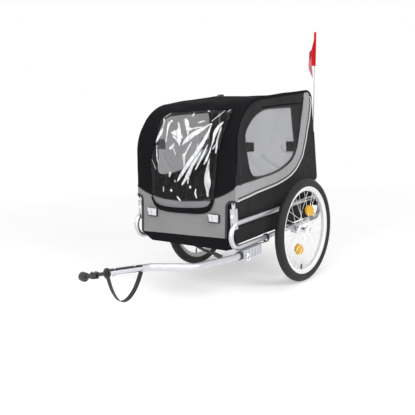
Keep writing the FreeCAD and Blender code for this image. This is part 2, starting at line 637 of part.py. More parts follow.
def add_folding_frame():
    """Side frames, their hinges and the roof bars. The right frame folds inside the left one."""
    nodes["left_side_frame"] = make_side_frame(0.0)
    nodes["right_side_frame"] = mirrored(make_side_frame(NEST))
    loop_room = swept(loop_edges(), LOOP_TUBE_RADIUS)
    brackets = [make_hinge_bracket(y, loop_room) for y in hinge_ys()]
    pins = [make_hinge_pin(y) for y in hinge_ys()]
    nodes["hinge_brackets"] = Part.makeCompound(brackets + [mirrored(piece) for piece in brackets])
    nodes["hinge_pins"] = Part.makeCompound(pins + [mirrored(piece) for piece in pins])
    bar_z = lug_bottom() - SEAT_GAP - ROOF_BAR_RADIUS
    bars = []
    for y in ROOF_BAR_YS:
        run = [Part.LineSegment(V(-ROOF_BAR_HALF, y, bar_z), V(ROOF_BAR_HALF, y, bar_z)).toShape()]
        bars.append(tube(run, ROOF_BAR_RADIUS, TUBE_WALL))
    nodes["roof_bars"] = Part.makeCompound(bars)


def window_edges():
    """Outline of a side window."""
    corners = [side_point(WINDOW_TOP_REAR_Y, WINDOW_TOP_Z), side_point(WINDOW_FRONT_Y, WINDOW_TOP_Z),
               side_point(WINDOW_FOOT_Y, WINDOW_BOTTOM_Z), side_point(WINDOW_REAR_Y, WINDOW_BOTTOM_Z)]
    return rounded_edges(corners, WINDOW_RADII, closed=True)


def add_cabin():
    """Fabric: the fixed tub below the hinges and the panels above them."""
    inner = CABIN_HALF_WIDTH - CLOTH
    above_tub = box(-FAR, FAR, -FAR, FAR, TUB_TOP_Z, FAR)
    tub_room = box(-PANEL_HALF_WIDTH, PANEL_HALF_WIDTH, -FAR, FAR, CABIN_BOTTOM_Z, TUB_TOP_Z)
    ahead = box(-FAR, FAR, -FAR, front_face_y(TUB_TOP_Z) + LOOP_TUBE_RADIUS, 0, TUB_TOP_Z)
    behind = box(-FAR, FAR, POCKET_REAR_Y, FAR, 0, TUB_TOP_Z)
    cloth = wrap(0.0, CLOTH, inner)
    tub = cloth.common(tub_room)
    nodes["front_tub_panel"] = biggest(tub.common(ahead))
    nodes["rear_tub_panel"] = biggest(tub.common(behind).cut(box(-FAR, FAR, -FAR, REAR_WAIST_Y - CLOTH, 0, FAR)))
    pockets = []
    for y0, y1 in ((-FAR, POCKET_FRONT_Y), (POCKET_REAR_Y, FAR)):
        pockets.append(box(PANEL_HALF_WIDTH, FAR, y0, y1, 0, POCKET_TOP_Z))
        pockets.append(box(-FAR, -PANEL_HALF_WIDTH, y0, y1, 0, POCKET_TOP_Z))
    skin = cloth.common(above_tub)
    tub_side = box(TUB_HALF_WIDTH - CLOTH, TUB_HALF_WIDTH, POCKET_FRONT_Y, POCKET_REAR_Y, FLOOR_Z, RAIL_TOP_Z)
    nodes["left_tub_side"] = tub_side
    nodes["right_tub_side"] = mirrored(tub_side)
    side = slab(closed_outline(0.0), inner, CABIN_HALF_WIDTH).cut(box(-FAR, FAR, -FAR, FAR, 0, RAIL_TOP_Z))
    side = side.cut(slab(window_edges(), inner - SINK, CABIN_HALF_WIDTH + SINK))
    for pocket in pockets:
        skin = skin.cut(pocket)
        side = side.cut(pocket)
    nodes["left_side_panel"] = side
    nodes["right_side_panel"] = mirrored(side)
    window = slab(window_edges(), inner, CABIN_HALF_WIDTH)
    nodes["side_windows"] = Part.makeCompound([window, mirrored(window)])
    corners, radii = cabin_outline(0.0)
    front_limit = corners[1].y + radii[0]
    front = skin.common(box(-FAR, FAR, -FAR, front_limit, 0, FAR))
    rear = skin.common(box(-FAR, FAR, REAR_TOP_Y - 2 * REAR_BEND_RADIUS, FAR, 0, FAR))
    roof = skin.cut(front).cut(rear)
    doorway = front_outline(COVER_BOTTOM_HALF - DOORWAY_OVERLAP, COVER_TOP_HALF - DOORWAY_OVERLAP,
                            TUB_TOP_Z + DOORWAY_OVERLAP, COVER_TOP_Z - DOORWAY_OVERLAP, COVER_CORNER_RADIUS)
    nodes["front_panel"] = biggest(front.cut(doorway))
    nodes["roof_panel"] = biggest(roof)
    hatch = box(DOORWAY_OVERLAP - REAR_DOOR_HALF, REAR_DOOR_HALF - DOORWAY_OVERLAP, 0, FAR,
                REAR_DOOR_BOTTOM_Z + DOORWAY_OVERLAP, REAR_DOOR_TOP_Z - DOORWAY_OVERLAP)
    nodes["rear_panel"] = biggest(rear.cut(hatch))
    add_covers()


def add_covers():
    """Front cover with its clear window, and the rear door, over their doorways."""
    sheet = wrap(-COVER_THICK - SEAT_GAP, COVER_THICK, CABIN_HALF_WIDTH)
    cover = front_outline(COVER_BOTTOM_HALF, COVER_TOP_HALF, COVER_BOTTOM_Z, COVER_TOP_Z, COVER_CORNER_RADIUS)
    pane = front_outline(COVER_BOTTOM_HALF - COVER_RIM, COVER_TOP_HALF - COVER_RIM, COVER_BOTTOM_Z + COVER_RIM,
                         COVER_TOP_Z - COVER_RIM, COVER_CORNER_RADIUS - COVER_RIM)
    nodes["front_cover"] = biggest(sheet.common(cover).cut(pane))
    nodes["front_window"] = biggest(sheet.common(pane))
    door = box(-REAR_DOOR_HALF, REAR_DOOR_HALF, 0, FAR, REAR_DOOR_BOTTOM_Z, REAR_DOOR_TOP_Z)
    nodes["rear_door"] = biggest(sheet.common(door))
    lenses = []
    for x in (-REFLECTOR_X, REFLECTOR_X):
        y = front_face_y(REFLECTOR_Z - REFLECTOR_HEIGHT / 2)
        lens = box(x - REFLECTOR_WIDTH / 2, x + REFLECTOR_WIDTH / 2, y - REFLECTOR_THICK, y,
                   REFLECTOR_Z - REFLECTOR_HEIGHT / 2, REFLECTOR_Z + REFLECTOR_HEIGHT / 2)
        lenses.append(lens)
    nodes["front_reflectors"] = Part.makeCompound(lenses)


def tow_points():
    """Corners of the tow bar's path, from the receiver to the nose."""
    nose = V(*TOW_NOSE)
    return [V(TOW_X, TOW_TAIL_Y, TOW_Z), V(TOW_X, TOW_STRAIGHT_Y, TOW_Z), V(*TOW_ELBOW), nose,
            nose + hitch_direction() * TOW_NOSE_RUN]


def hitch_direction():
    """Way that the hitch points, from the tow bar's nose to the eye."""
    return (V(*HITCH_EYE) - V(*TOW_NOSE)).normalize()


def hitch_placed(shape):
    """Move a hitch piece, drawn along X from the nose, to its place."""
    along = hitch_direction()
    lateral = V(0, 0, 1).cross(along).normalize()
    shape.Placement = FreeCAD.Placement(V(*TOW_NOSE), FreeCAD.Rotation(along, lateral, V(0, 0, 1), "XYZ"))
    return shape


def add_tow_bar():
    """Receiver under the left rail, lock pin, bent tow bar."""
    edges = rounded_edges(tow_points(), TOW_BEND_RADII)
    pin_hole = rod(V(0, LOCK_PIN_Y, TOW_Z), V(FAR, LOCK_PIN_Y, TOW_Z), LOCK_PIN_RADIUS + PIN_CLEARANCE)
    bar = swept(edges, TOW_RADIUS).cut(swept(edges, ARM_RADIUS + PIN_CLEARANCE))
    nodes["tow_bar"] = bar.cut(pin_hole)
    top = LOOP_BOTTOM_Z - LOOP_TUBE_RADIUS
    left, right = TOW_X - RECEIVER_HALF_WIDTH, TOW_X + RECEIVER_HALF_WIDTH
    block = box(left, right, RECEIVER_FRONT_Y, RECEIVER_REAR_Y, RECEIVER_BOTTOM_Z, top)
    pitch = (RECEIVER_REAR_Y - RECEIVER_FRONT_Y) / RECEIVER_RIB_COUNT
    for index in range(RECEIVER_RIB_COUNT):
        y = RECEIVER_FRONT_Y + index * pitch
        groove = box(right - RECEIVER_RIB, right, y + RECEIVER_RIB, y + pitch - RECEIVER_RIB,
                     RECEIVER_BOTTOM_Z + 2 * RECEIVER_RIB, top - 2 * RECEIVER_RIB)
        block = block.cut(groove)
    socket = rod(V(TOW_X, RECEIVER_FRONT_Y, TOW_Z), V(TOW_X, TOW_TAIL_Y + SEAT_GAP, TOW_Z), TOW_RADIUS + PIN_CLEARANCE)
    nodes["tow_receiver"] = block.cut(socket).cut(pin_hole)
    mouth = V(TOW_X, RECEIVER_FRONT_Y, TOW_Z)
    lip = mouth - V(0, BUSH_LENGTH, 0)
    nodes["receiver_bush"] = rod(lip, mouth, TOW_RADIUS + BUSH_WALL).cut(rod(lip, mouth, TOW_RADIUS + PIN_CLEARANCE))
    head = right + SEAT_GAP
    pin = rod(V(left, LOCK_PIN_Y, TOW_Z), V(head + 2 * LOCK_PIN_RADIUS, LOCK_PIN_Y, TOW_Z), LOCK_PIN_RADIUS)
    cap = rod(V(head, LOCK_PIN_Y, TOW_Z), V(head + LOCK_PIN_RADIUS, LOCK_PIN_Y, TOW_Z), 2 * LOCK_PIN_RADIUS)
    ring_middle = V(head + 3 * LOCK_RING_WIRE, LOCK_PIN_Y, TOW_Z - LOCK_PIN_RADIUS - LOCK_RING_RADIUS)
    ring = Part.makeTorus(LOCK_RING_RADIUS, LOCK_RING_WIRE, ring_middle, V(1, 0, 0))
    nodes["lock_pin"] = pin.fuse(cap).fuse(ring).removeSplitter()


def add_hitch():
    """Arm in the tow bar's nose, swivel shank, fork and the eye that takes the bicycle's axle bolt."""
    bore = rod(V(0, 0, 0), V(ARM_END + FLANGE_THICK, 0, 0), SHANK_RADIUS + PIN_CLEARANCE)
    arm = rod(V(ARM_START, 0, 0), V(ARM_END, 0, 0), ARM_RADIUS)
    flange = rod(V(ARM_END, 0, 0), V(ARM_END + FLANGE_THICK, 0, 0), FLANGE_RADIUS).cut(bore)
    bolts = []
    for station in BOLT_STATIONS:
        hole = rod(V(station, 0, -FAR), V(station, 0, FAR), BOLT_RADIUS + PIN_CLEARANCE)
        arm = arm.cut(hole)
        bolt = rod(V(station, 0, -ARM_RADIUS), V(station, 0, ARM_RADIUS), BOLT_RADIUS)
        for side in (-1, 1):
            seat = V(station, 0, side * (ARM_RADIUS + STRAP_THICK * (side > 0)))
            bolt = bolt.fuse(rod(V(station, 0, 0), seat, BOLT_RADIUS))
            bolt = bolt.fuse(rod(seat, seat + V(0, 0, side * BOLT_HEAD_LENGTH), BOLT_HEAD_RADIUS))
        bolts.append(hitch_placed(bolt.removeSplitter()))
    nodes["hitch_arm"] = hitch_placed(arm.cut(bore))
    nodes["hitch_flange"] = hitch_placed(flange)
    nodes["hitch_bolts"] = Part.makeCompound(bolts)
    fork_room = FORK_PIVOT - FORK_RADIUS - SEAT_GAP
    shank = rod(V(ARM_END - 2 * SHANK_RADIUS, 0, 0), V(fork_room, 0, 0), SHANK_RADIUS)
    collar_start = ARM_END + FLANGE_THICK + SEAT_GAP
    shank = shank.fuse(rod(V(collar_start, 0, 0), V(collar_start + COLLAR_LENGTH, 0, 0), COLLAR_RADIUS))
    cheek = FORK_HALF_GAP + FORK_PLATE
    fork = rod(V(FORK_PIVOT, 0, -cheek), V(FORK_PIVOT, 0, cheek), FORK_RADIUS)
    fork = fork.fuse(box(fork_room - FORK_PLATE, FORK_PIVOT, -FORK_RADIUS, FORK_RADIUS, -cheek, cheek))
    slot = box(fork_room, FORK_PIVOT + FAR, -FAR, FAR, -FORK_HALF_GAP, FORK_HALF_GAP)
    pin_hole = rod(V(FORK_PIVOT, 0, -FAR), V(FORK_PIVOT, 0, FAR), FORK_PIN_RADIUS + PIN_CLEARANCE)
    nodes["hitch_swivel"] = hitch_placed(shank.fuse(fork.cut(slot)).removeSplitter().cut(pin_hole))
    pin = rod(V(FORK_PIVOT, 0, -cheek), V(FORK_PIVOT, 0, cheek), FORK_PIN_RADIUS)
    for side in (-1, 1):
        seat = V(FORK_PIVOT, 0, side * cheek)
        pin = pin.fuse(rod(seat, seat + V(0, 0, side * HINGE_HEAD_LENGTH), FORK_PIN_RADIUS + SINK))
    nodes["hitch_pin"] = hitch_placed(pin.removeSplitter())
    eye_at = (V(*HITCH_EYE) - V(*TOW_NOSE)).Length
    tongue_half = FORK_HALF_GAP - SEAT_GAP
    tongue = rod(V(FORK_PIVOT, 0, -tongue_half), V(FORK_PIVOT, 0, tongue_half), FORK_RADIUS - SINK)
    tongue = tongue.fuse(box(FORK_PIVOT, eye_at, SINK - FORK_RADIUS, FORK_RADIUS - SINK, -tongue_half, tongue_half))
    ring = rod(V(eye_at, -EYE_WIDTH / 2, 0), V(eye_at, EYE_WIDTH / 2, 0), EYE_RADIUS)
    bore = rod(V(eye_at, -FAR, 0), V(eye_at, FAR, 0), EYE_BORE_RADIUS)
    nodes["hitch_eye"] = hitch_placed(tongue.fuse(ring).removeSplitter().cut(bore).cut(pin_hole))


def add_straps():
    """Safety strap under the hitch, and the tether from the front hem to the receiver."""
    low = -ARM_RADIUS - 2 * SEAT_GAP
    path = [V(station, 0, low - drop) for station, drop in STRAP_ROUTE]
    edges = rounded_edges(path, STRAP_BENDS)
    first = edges[0]
    along = first.tangentAt(first.FirstParameter)
    half, across = STRAP_WIDTH / 2, along.cross(V(0, 1, 0)).normalize() * (STRAP_THICK / 2)
    corners = [path[0] + across + V(0, half, 0), path[0] + across - V(0, half, 0),
               path[0] - across - V(0, half, 0), path[0] - across + V(0, half, 0)]
    section = Part.makePolygon(corners + corners[:1])
    hanging = Part.Wire(edges).makePipeShell([section], True, False)
    cover = box(STRAP_ROUTE[-1][0], STRAP_ROUTE[0][0], -STRAP_COVER_HALF, STRAP_COVER_HALF, ARM_RADIUS,
                ARM_RADIUS + STRAP_THICK)
    for station in BOLT_STATIONS:
        cover = cover.cut(rod(V(station, 0, 0), V(station, 0, FAR), BOLT_RADIUS + PIN_CLEARANCE))
    nodes["safety_strap"] = Part.makeCompound([hitch_placed(hanging), hitch_placed(cover)])
    hem_y = front_face_y(TETHER_START_Z) + CLOTH + SEAT_GAP + STRAP_THICK / 2
    start, end = V(TETHER_START_X, hem_y, TETHER_START_Z), V(TETHER_END_X, hem_y, TETHER_END_Z)
    length = (end - start).Length
    lean = math.degrees(math.atan2(end.z - start.z, end.x - start.x))
    webbing = box(0, length, -STRAP_THICK / 2, STRAP_THICK / 2, -TETHER_WIDTH / 2, TETHER_WIDTH / 2)
    clip = box(length, length + CLIP_LENGTH, -CLIP_THICK / 2, CLIP_THICK / 2, -CLIP_WIDTH / 2, CLIP_WIDTH / 2)
    for name, piece in (("tether_strap", webbing), ("tether_clip", clip)):
        piece.Placement = FreeCAD.Placement(start, FreeCAD.Rotation(V(0, 1, 0), -lean))
        nodes[name] = piece


def add_flag():
    """Limp pennant on a thin pole that stands in a socket behind the left rail."""
    foot = V(FLAG_X, FLAG_FOOT_Y, FLAG_FOOT_Z)
    lean = math.radians(FLAG_LEAN_DEG)
    up = V(0, math.sin(lean), math.cos(lean))
    length = (FLAG_TOP_Z - FLAG_FOOT_Z) / math.cos(lean)
    pole = rod(foot, foot + up * length, POLE_RADIUS)
    sleeve = rod(foot - up * SOCKET_WALL, foot + up * SOCKET_LENGTH, POLE_RADIUS + SOCKET_WALL)
    tab = box(FLAG_X, LOOP_X, LOOP_REAR_Y - SOCKET_WALL, LOOP_REAR_Y + SOCKET_WALL, FLAG_FOOT_Z - 2 * SOCKET_WALL,
              FLAG_FOOT_Z + 4 * SOCKET_WALL)
    loop_room = swept(loop_edges(), LOOP_TUBE_RADIUS)
    hole = rod(foot - up * SEAT_GAP, foot + up * FAR, POLE_RADIUS + PIN_CLEARANCE)
    nodes["flag_socket"] = biggest(sleeve.fuse(tab.cut(loop_room)).removeSplitter().cut(hole))
    nodes["flag_pole"] = pole
    top = foot + up * length
    hem = V(0, -POLE_RADIUS - SEAT_GAP, 0)
    corners = [top + hem, top + hem + V(0, -PENNANT_REACH, 0) - up * PENNANT_BULGE_DROP,
               top + hem + V(0, -PENNANT_REACH, 0) - up * PENNANT_FOLD_DROP,
               top + hem + V(0, -PENNANT_TIP_GAP, 0) - up * PENNANT_DROP, top + hem - up * PENNANT_HEIGHT]
    face = Part.Face(Part.makePolygon(corners + corners[:1]))
    face.translate(V(-PENNANT_THICK / 2, 0, 0))
    nodes["flag"] = face.extrude(V(PENNANT_THICK, 0, 0))


def main():
    """Build every piece, set the origin and write one file for each."""
    add_chassis()
    add_wheel("left", 1)
    add_wheel("right", -1)
    add_folding_frame()
    add_cabin()
    add_tow_bar()
    add_hitch()
    add_straps()
    add_flag()
    boxes = [shape.optimalBoundingBox(False, False) for shape in nodes.values()]
    middle_y = (min(b.YMin for b in boxes) + max(b.YMax for b in boxes)) / 2
    os.makedirs("parts", exist_ok=True)
    for name, shape in nodes.items():
        shape.translate(V(0, -middle_y, TYRE_RADIUS - AXLE_Z))
        shape.exportStep("parts/%s.step" % name)
        print("%-20s solids %2d valid %s volume %.0f" % (name, len(shape.Solids), shape.isValid(), shape.Volume))
    print("axle at Y %.3f, hinges at Y %.3f and %.3f" % (-middle_y, *[y - middle_y for y in hinge_ys()]))
    print("nodes", len(nodes))


main()
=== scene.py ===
"""Dress a dog bike trailer: sewn cabin cloth, clear front cover, spoked wheels, plated tubes and webbing.

Metres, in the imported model's own frame: +X is the trailer's left, -Y the way it is towed, +Z up.
Side-view places are written about the wheel axle and moved to the frame by the axle's own place.
"""
from __future__ import annotations

import json
import logging
import math
from dataclasses import dataclass, field
from enum import Enum
from typing import Callable, Sequence

import bpy
import numpy as np
from mathutils import Matrix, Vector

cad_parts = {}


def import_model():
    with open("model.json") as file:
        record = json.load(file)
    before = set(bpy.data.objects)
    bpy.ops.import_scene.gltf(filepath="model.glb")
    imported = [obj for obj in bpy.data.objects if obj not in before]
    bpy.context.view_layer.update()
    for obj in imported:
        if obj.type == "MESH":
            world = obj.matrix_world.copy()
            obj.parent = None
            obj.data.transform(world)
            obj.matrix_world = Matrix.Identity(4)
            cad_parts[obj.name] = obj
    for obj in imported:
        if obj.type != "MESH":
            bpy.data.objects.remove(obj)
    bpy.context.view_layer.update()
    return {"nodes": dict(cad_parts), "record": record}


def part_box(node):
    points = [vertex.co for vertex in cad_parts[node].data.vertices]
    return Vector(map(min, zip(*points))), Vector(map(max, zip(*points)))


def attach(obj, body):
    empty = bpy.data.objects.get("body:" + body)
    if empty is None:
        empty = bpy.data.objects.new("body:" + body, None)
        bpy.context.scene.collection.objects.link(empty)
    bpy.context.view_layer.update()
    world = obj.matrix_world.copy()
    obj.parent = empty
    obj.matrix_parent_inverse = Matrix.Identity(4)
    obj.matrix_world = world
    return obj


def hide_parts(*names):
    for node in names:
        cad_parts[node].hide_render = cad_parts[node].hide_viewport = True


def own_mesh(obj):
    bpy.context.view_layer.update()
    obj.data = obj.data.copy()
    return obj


LOG = logging.getLogger("trailer")
Array = np.ndarray
Colour = tuple[float, float, float]
Waves = tuple[tuple[float, float, float, float], ...]


class Side(Enum):
    """The trailer's two sides, with the sign of X there."""

    LEFT = 1
    RIGHT = -1

    @property
    def word(self) -> str:
        """Name used in node names."""
        return self.name.lower()


# Mesh helpers


def smooth_step(value: Array, low: float, high: float) -> Array:
    """Ease from 0 at low to 1 at high.

    Args:
        value: Numbers to ease.
        low: Where the ease starts.
        high: Where the ease ends.

    Returns:
        Eased shares between 0 and 1.
    """
    share = np.clip((value - low) / (high - low), 0.0, 1.0)
    return share * share * (3.0 - 2.0 * share)


def ripples(across: Array, along: Array, waves: Waves) -> Array:
    """Add up slanted sine waves, the small tension folds of a sewn panel.

    Args:
        across: First surface coordinate, metres.
        along: Second surface coordinate, metres.
        waves: For each wave its height, its two counts per metre and its phase.

    Returns:
        Height of the folds at each point.
    """
    total = np.zeros(np.broadcast(across, along).shape)
    for height, per_across, per_along, phase in waves:
        total = total + height * np.sin(2.0 * np.pi * (per_across * across + per_along * along) + phase)
    return total


def arc_lengths(points: Array) -> Array:
    """Distance along a polyline to each of its points.

    Args:
        points: Points in order, one row each.

    Returns:
        Running length, starting at 0.
    """
    steps = np.linalg.norm(np.diff(points, axis=0), axis=1)
    return np.concatenate([[0.0], np.cumsum(steps)])


def resampled(points: Array, count: int) -> Array:
    """Space points evenly along a polyline.

    Args:
        points: Points in order, one row each.
        count: How many points to return.

    Returns:
        Evenly spaced points with the same ends.
    """
    reach = arc_lengths(points)
    places = np.linspace(0.0, reach[-1], count)
    return np.stack([np.interp(places, reach, points[:, axis]) for axis in range(points.shape[1])], axis=1)


def smoothed(points: Array, count: int, rounds: int = 4, closed: bool = False) -> Array:
    """Round a coarse polyline by cutting its corners, then space its points evenly.

    Args:
        points: Corner points in order.
        count: How many points to return.
        rounds: How often the corners are cut.
        closed: Whether the last point joins the first.

    Returns:
        Points on the rounded line.
    """
    line = np.asarray(points, float)
    for _ in range(rounds):
        following = np.roll(line, -1, axis=0) if closed else line[1:]
        current = line if closed else line[:-1]
        near = 0.75 * current + 0.25 * following
        far = 0.25 * current + 0.75 * following
        cut = np.stack([near, far], axis=1).reshape(-1, line.shape[1])
        line = cut if closed else np.concatenate([line[:1], cut, line[-1:]])
    if closed:
        line = np.concatenate([line, line[:1]])
    return resampled(line, count)


def rounded_line(corners: Sequence[tuple[float, float]], radii: Sequence[float], closed: bool = False,
                 arc_steps: int = 24) -> Array:
    """Straight runs joined by tangent arcs in a plane.

    Args:
        corners: Corner points in order.
        radii: One radius for each inner corner, or for every corner of a closed line.
        closed: Whether the line closes on itself.
        arc_steps: Points on each arc.

    Returns:
        Points along the line.
    """
    points = np.asarray(corners, float)
    count = len(points)
    turning = list(range(count)) if closed else list(range(1, count - 1))
    parts = [] if closed else [points[:1]]
    for radius, corner in zip(radii, turning):
        before = points[corner - 1] - points[corner]
        after = points[(corner + 1) % count] - points[corner]
        before, after = before / np.linalg.norm(before), after / np.linalg.norm(after)
        half = (np.pi - np.arccos(np.clip(before @ after, -1.0, 1.0))) / 2.0
        bisector = (before + after) / np.linalg.norm(before + after)
        centre = points[corner] + bisector * radius / np.cos(half)
        swing = np.linspace(-half, half, arc_steps)[:, None]
        across = (after - before) / np.linalg.norm(after - before)
        parts.append(centre - bisector * radius * np.cos(swing) + across * radius * np.sin(swing))
    if not closed:
        parts.append(points[-1:])
    line = np.concatenate(parts)
    return np.concatenate([line, line[:1]]) if closed else line


def surface_object(name: str, points: Array, uv: Array | None = None, wrap_u: bool = False,
                   wrap_v: bool = False, flip: bool = False) -> bpy.types.Object:
    """Turn a grid of points into a smooth mesh object with a UV map in metres.

    Args:
        name: Name of the object.
        points: Grid of points, shaped (rows, columns, 3).
        uv: Grid of surface coordinates, or None to measure them along the middle row and column.
        wrap_u: Whether the last row joins the first.
        wrap_v: Whether the last column joins the first.
        flip: Whether faces point the other way.

    Returns:
        The new object, at the origin.
    """
    rows, columns = points.shape[:2]
    if uv is None:
        down = arc_lengths(points[:, columns // 2])
        across = arc_lengths(points[rows // 2])
        uv = np.stack(np.meshgrid(down, across, indexing="ij"), axis=-1)
    u_index = np.arange(rows if wrap_u else rows - 1)
    v_index = np.arange(columns if wrap_v else columns - 1)
    near_u, near_v = np.meshgrid(u_index, v_index, indexing="ij")
    far_u, far_v = (near_u + 1) % rows, (near_v + 1) % columns
    quads = np.stack([near_u * columns + near_v, far_u * columns + near_v, far_u * columns + far_v,
                      near_u * columns + far_v], axis=-1).reshape(-1, 4)
    if flip:
        quads = quads[:, ::-1]
    mesh = bpy.data.meshes.new(name)
    mesh.vertices.add(rows * columns)
    mesh.vertices.foreach_set("co", points.reshape(-1).astype(np.float32))
    mesh.loops.add(quads.size)
    mesh.loops.foreach_set("vertex_index", quads.reshape(-1).astype(np.int32))
    mesh.polygons.add(len(quads))
    mesh.polygons.foreach_set("loop_start", np.arange(0, quads.size, 4, dtype=np.int32))
    mesh.polygons.foreach_set("use_smooth", np.ones(len(quads), dtype=bool))
    mesh.update(calc_edges=True)
    layer = mesh.uv_layers.new(name="cloth")
    layer.data.foreach_set("uv", uv.reshape(-1, 2)[quads.reshape(-1)].reshape(-1).astype(np.float32))
    mesh.validate()
    piece = bpy.data.objects.new(name, mesh)
    bpy.context.scene.collection.objects.link(piece)
    return piece


def swept_surface(name: str, path: Array, profile: Array, up: Array, closed: bool = False,
                  caps: bool = True) -> bpy.types.Object:
    """Carry a closed profile along a path, square to it.

    Args:
        name: Name of the object.
        path: Points along the path.
        profile: Profile points as (sideways, upward) pairs, in order round the section.
        up: Rough upward way at each path point, or one for all.
        closed: Whether the path closes on itself; its last point then isn't the first again.
        caps: Whether the ends of an open path are drawn in to a point.

    Returns:
        The new object.
    """
    if closed:
        ahead = np.roll(path, -1, axis=0) - np.roll(path, 1, axis=0)
    else:
        ahead = np.gradient(path, axis=0)
    ahead = ahead / np.linalg.norm(ahead, axis=1, keepdims=True)
    upward = np.broadcast_to(np.asarray(up, float), path.shape)
    sideways = np.cross(ahead, upward)
    sideways = sideways / np.linalg.norm(sideways, axis=1, keepdims=True)
    upward = np.cross(sideways, ahead)
    rings = (path[:, None] + sideways[:, None] * profile[None, :, :1] + upward[:, None] * profile[None, :, 1:])
    if caps and not closed:
        rings = np.concatenate([np.repeat(path[:1, None], len(profile), axis=1), rings,
                                np.repeat(path[-1:, None], len(profile), axis=1)])
    return surface_object(name, rings, wrap_u=closed, wrap_v=True, flip=True)


def round_profile(width: float, height: float, count: int = 12, power: float = 2.0) -> Array:
    """Points round an oval or, with a higher power, a rounded slab.

    Args:
        width: Full size sideways.
        height: Full size upward.
        count: Points round the section.
        power: 2 for an ellipse, more for squarer corners.

    Returns:
        Profile points as (sideways, upward) pairs.
    """
    turn = np.linspace(0.0, 2.0 * np.pi, count, endpoint=False)
    shape = np.stack([np.cos(turn), np.sin(turn)], axis=1)
    squared = np.sign(shape) * np.abs(shape) ** (2.0 / power)
    return squared * np.array([width / 2.0, height / 2.0])


def thickened(piece: bpy.types.Object, depth: float, offset: float = -1.0) -> bpy.types.Object:
    """Give a sheet its thickness.

    Args:
        piece: Sheet to thicken.
        depth: Thickness, metres.
        offset: -1 to grow inward, 1 outward.

    Returns:
        The same piece.
    """
    wall = piece.modifiers.new("thickness", "SOLIDIFY")
    wall.thickness = depth
    wall.offset = offset
    return piece


# Finishes


class Shader:
    """A material's node tree, built a node at a time."""

    def __init__(self, name: str) -> None:
        """Start a material with a plain shader.

        Args:
            name: Name of the material.
        """
        self.material = bpy.data.materials.new(name)
        self.material.use_nodes = True
        self.tree = self.material.node_tree
        self.base = self.tree.nodes["Principled BSDF"]
        self.output = self.tree.nodes["Material Output"]

    def node(self, kind: str, settings: dict | None = None, inputs: dict | None = None) -> bpy.types.Node:
        """Add a node.

        Args:
            kind: Node type without its ShaderNode prefix.
            settings: Properties to set on the node.
            inputs: Socket values, or sockets to link from, by socket name or number.

        Returns:
            The new node.
        """
        made = self.tree.nodes.new("ShaderNode" + kind)
        for key, value in (settings or {}).items():
            setattr(made, key, value)
        for key, value in (inputs or {}).items():
            self.feed(made.inputs[key], value)
        return made

    def feed(self, socket: bpy.types.NodeSocket, value: object) -> None:
        """Link a socket from another one, or set its value.

        Args:
            socket: Socket to feed.
            value: Another socket, or a plain value.
        """
        if isinstance(value, bpy.types.NodeSocket):
            self.tree.links.new(value, socket)
        else:
            socket.default_value = value

    def set(self, **values: object) -> None:
        """Set the main shader's sockets by name, with _ for a space."""
        for key, value in values.items():
            self.feed(self.base.inputs[key.replace("_", " ")], value)

    def place(self, surface: bool, stretch: Sequence[float] = (1.0, 1.0, 1.0)) -> bpy.types.NodeSocket:
        """Coordinates for a pattern.

        Args:
            surface: True for the piece's UV map in metres, False for object coordinates.
            stretch: Scale on each axis.

        Returns:
            The coordinate socket.
        """
        coords = self.node("TexCoord").outputs["UV" if surface else "Object"]
        return self.node("Mapping", inputs={"Vector": coords, "Scale": stretch}).outputs[0]

    def noise(self, where: bpy.types.NodeSocket, scale: float, detail: float = 3.0) -> bpy.types.NodeSocket:
        """Soft cloudy pattern between 0 and 1."""
        return self.node("TexNoise", inputs={"Vector": where, "Scale": scale, "Detail": detail}).outputs[0]

    def waves(self, where: bpy.types.NodeSocket, pitch: float, axis: str) -> bpy.types.NodeSocket:
        """Even sine ridges.

        Args:
            where: Coordinates of the pattern.
            pitch: Metres from ridge to ridge.
            axis: X or Y, the way they follow each other.

        Returns:
            The ridges, between 0 and 1.
        """
        ridge = self.node("TexWave", {"bands_direction": axis, "wave_profile": "SIN"},
                          {"Vector": where, "Scale": 2.0 * math.pi / (20.0 * pitch)})
        return ridge.outputs[1]

    def math(self, operation: str, first: object, second: object = 0.0) -> bpy.types.NodeSocket:
        """One arithmetic step on two numbers or sockets."""
        return self.node("Math", {"operation": operation}, {0: first, 1: second}).outputs[0]

    def ramp(self, share: bpy.types.NodeSocket, low: float, high: float, start: float = 0.0,
             end: float = 1.0) -> bpy.types.NodeSocket:
        """Map low..high to start..end, clamped."""
        return self.node("MapRange", None, {0: share, 1: low, 2: high, 3: start, 4: end}).outputs[0]

    def mix(self, share: object, low: object, high: object) -> bpy.types.NodeSocket:
        """Blend two colours."""
        sockets = {0: share, 6: self.colour(low), 7: self.colour(high)}
        return self.node("Mix", {"data_type": "RGBA"}, sockets).outputs[2]

    @staticmethod
    def colour(value: object) -> object:
        """Add the alpha to a plain colour and leave a socket as it is."""
        return (*value, 1.0) if isinstance(value, tuple) else value

    def bump(self, height: bpy.types.NodeSocket, depth: float, under: object = None) -> bpy.types.NodeSocket:
        """Turn a height pattern into a normal.

        Args:
            height: Pattern between 0 and 1.
            depth: How deep it is, metres.
            under: Normal of a coarser pattern to add to, if any.

        Returns:
            The normal socket.
        """
        made = self.node("Bump", None, {"Strength": 1.0, "Distance": depth, "Height": height})
        if under is not None:
            self.feed(made.inputs["Normal"], under)
        return made.outputs[0]


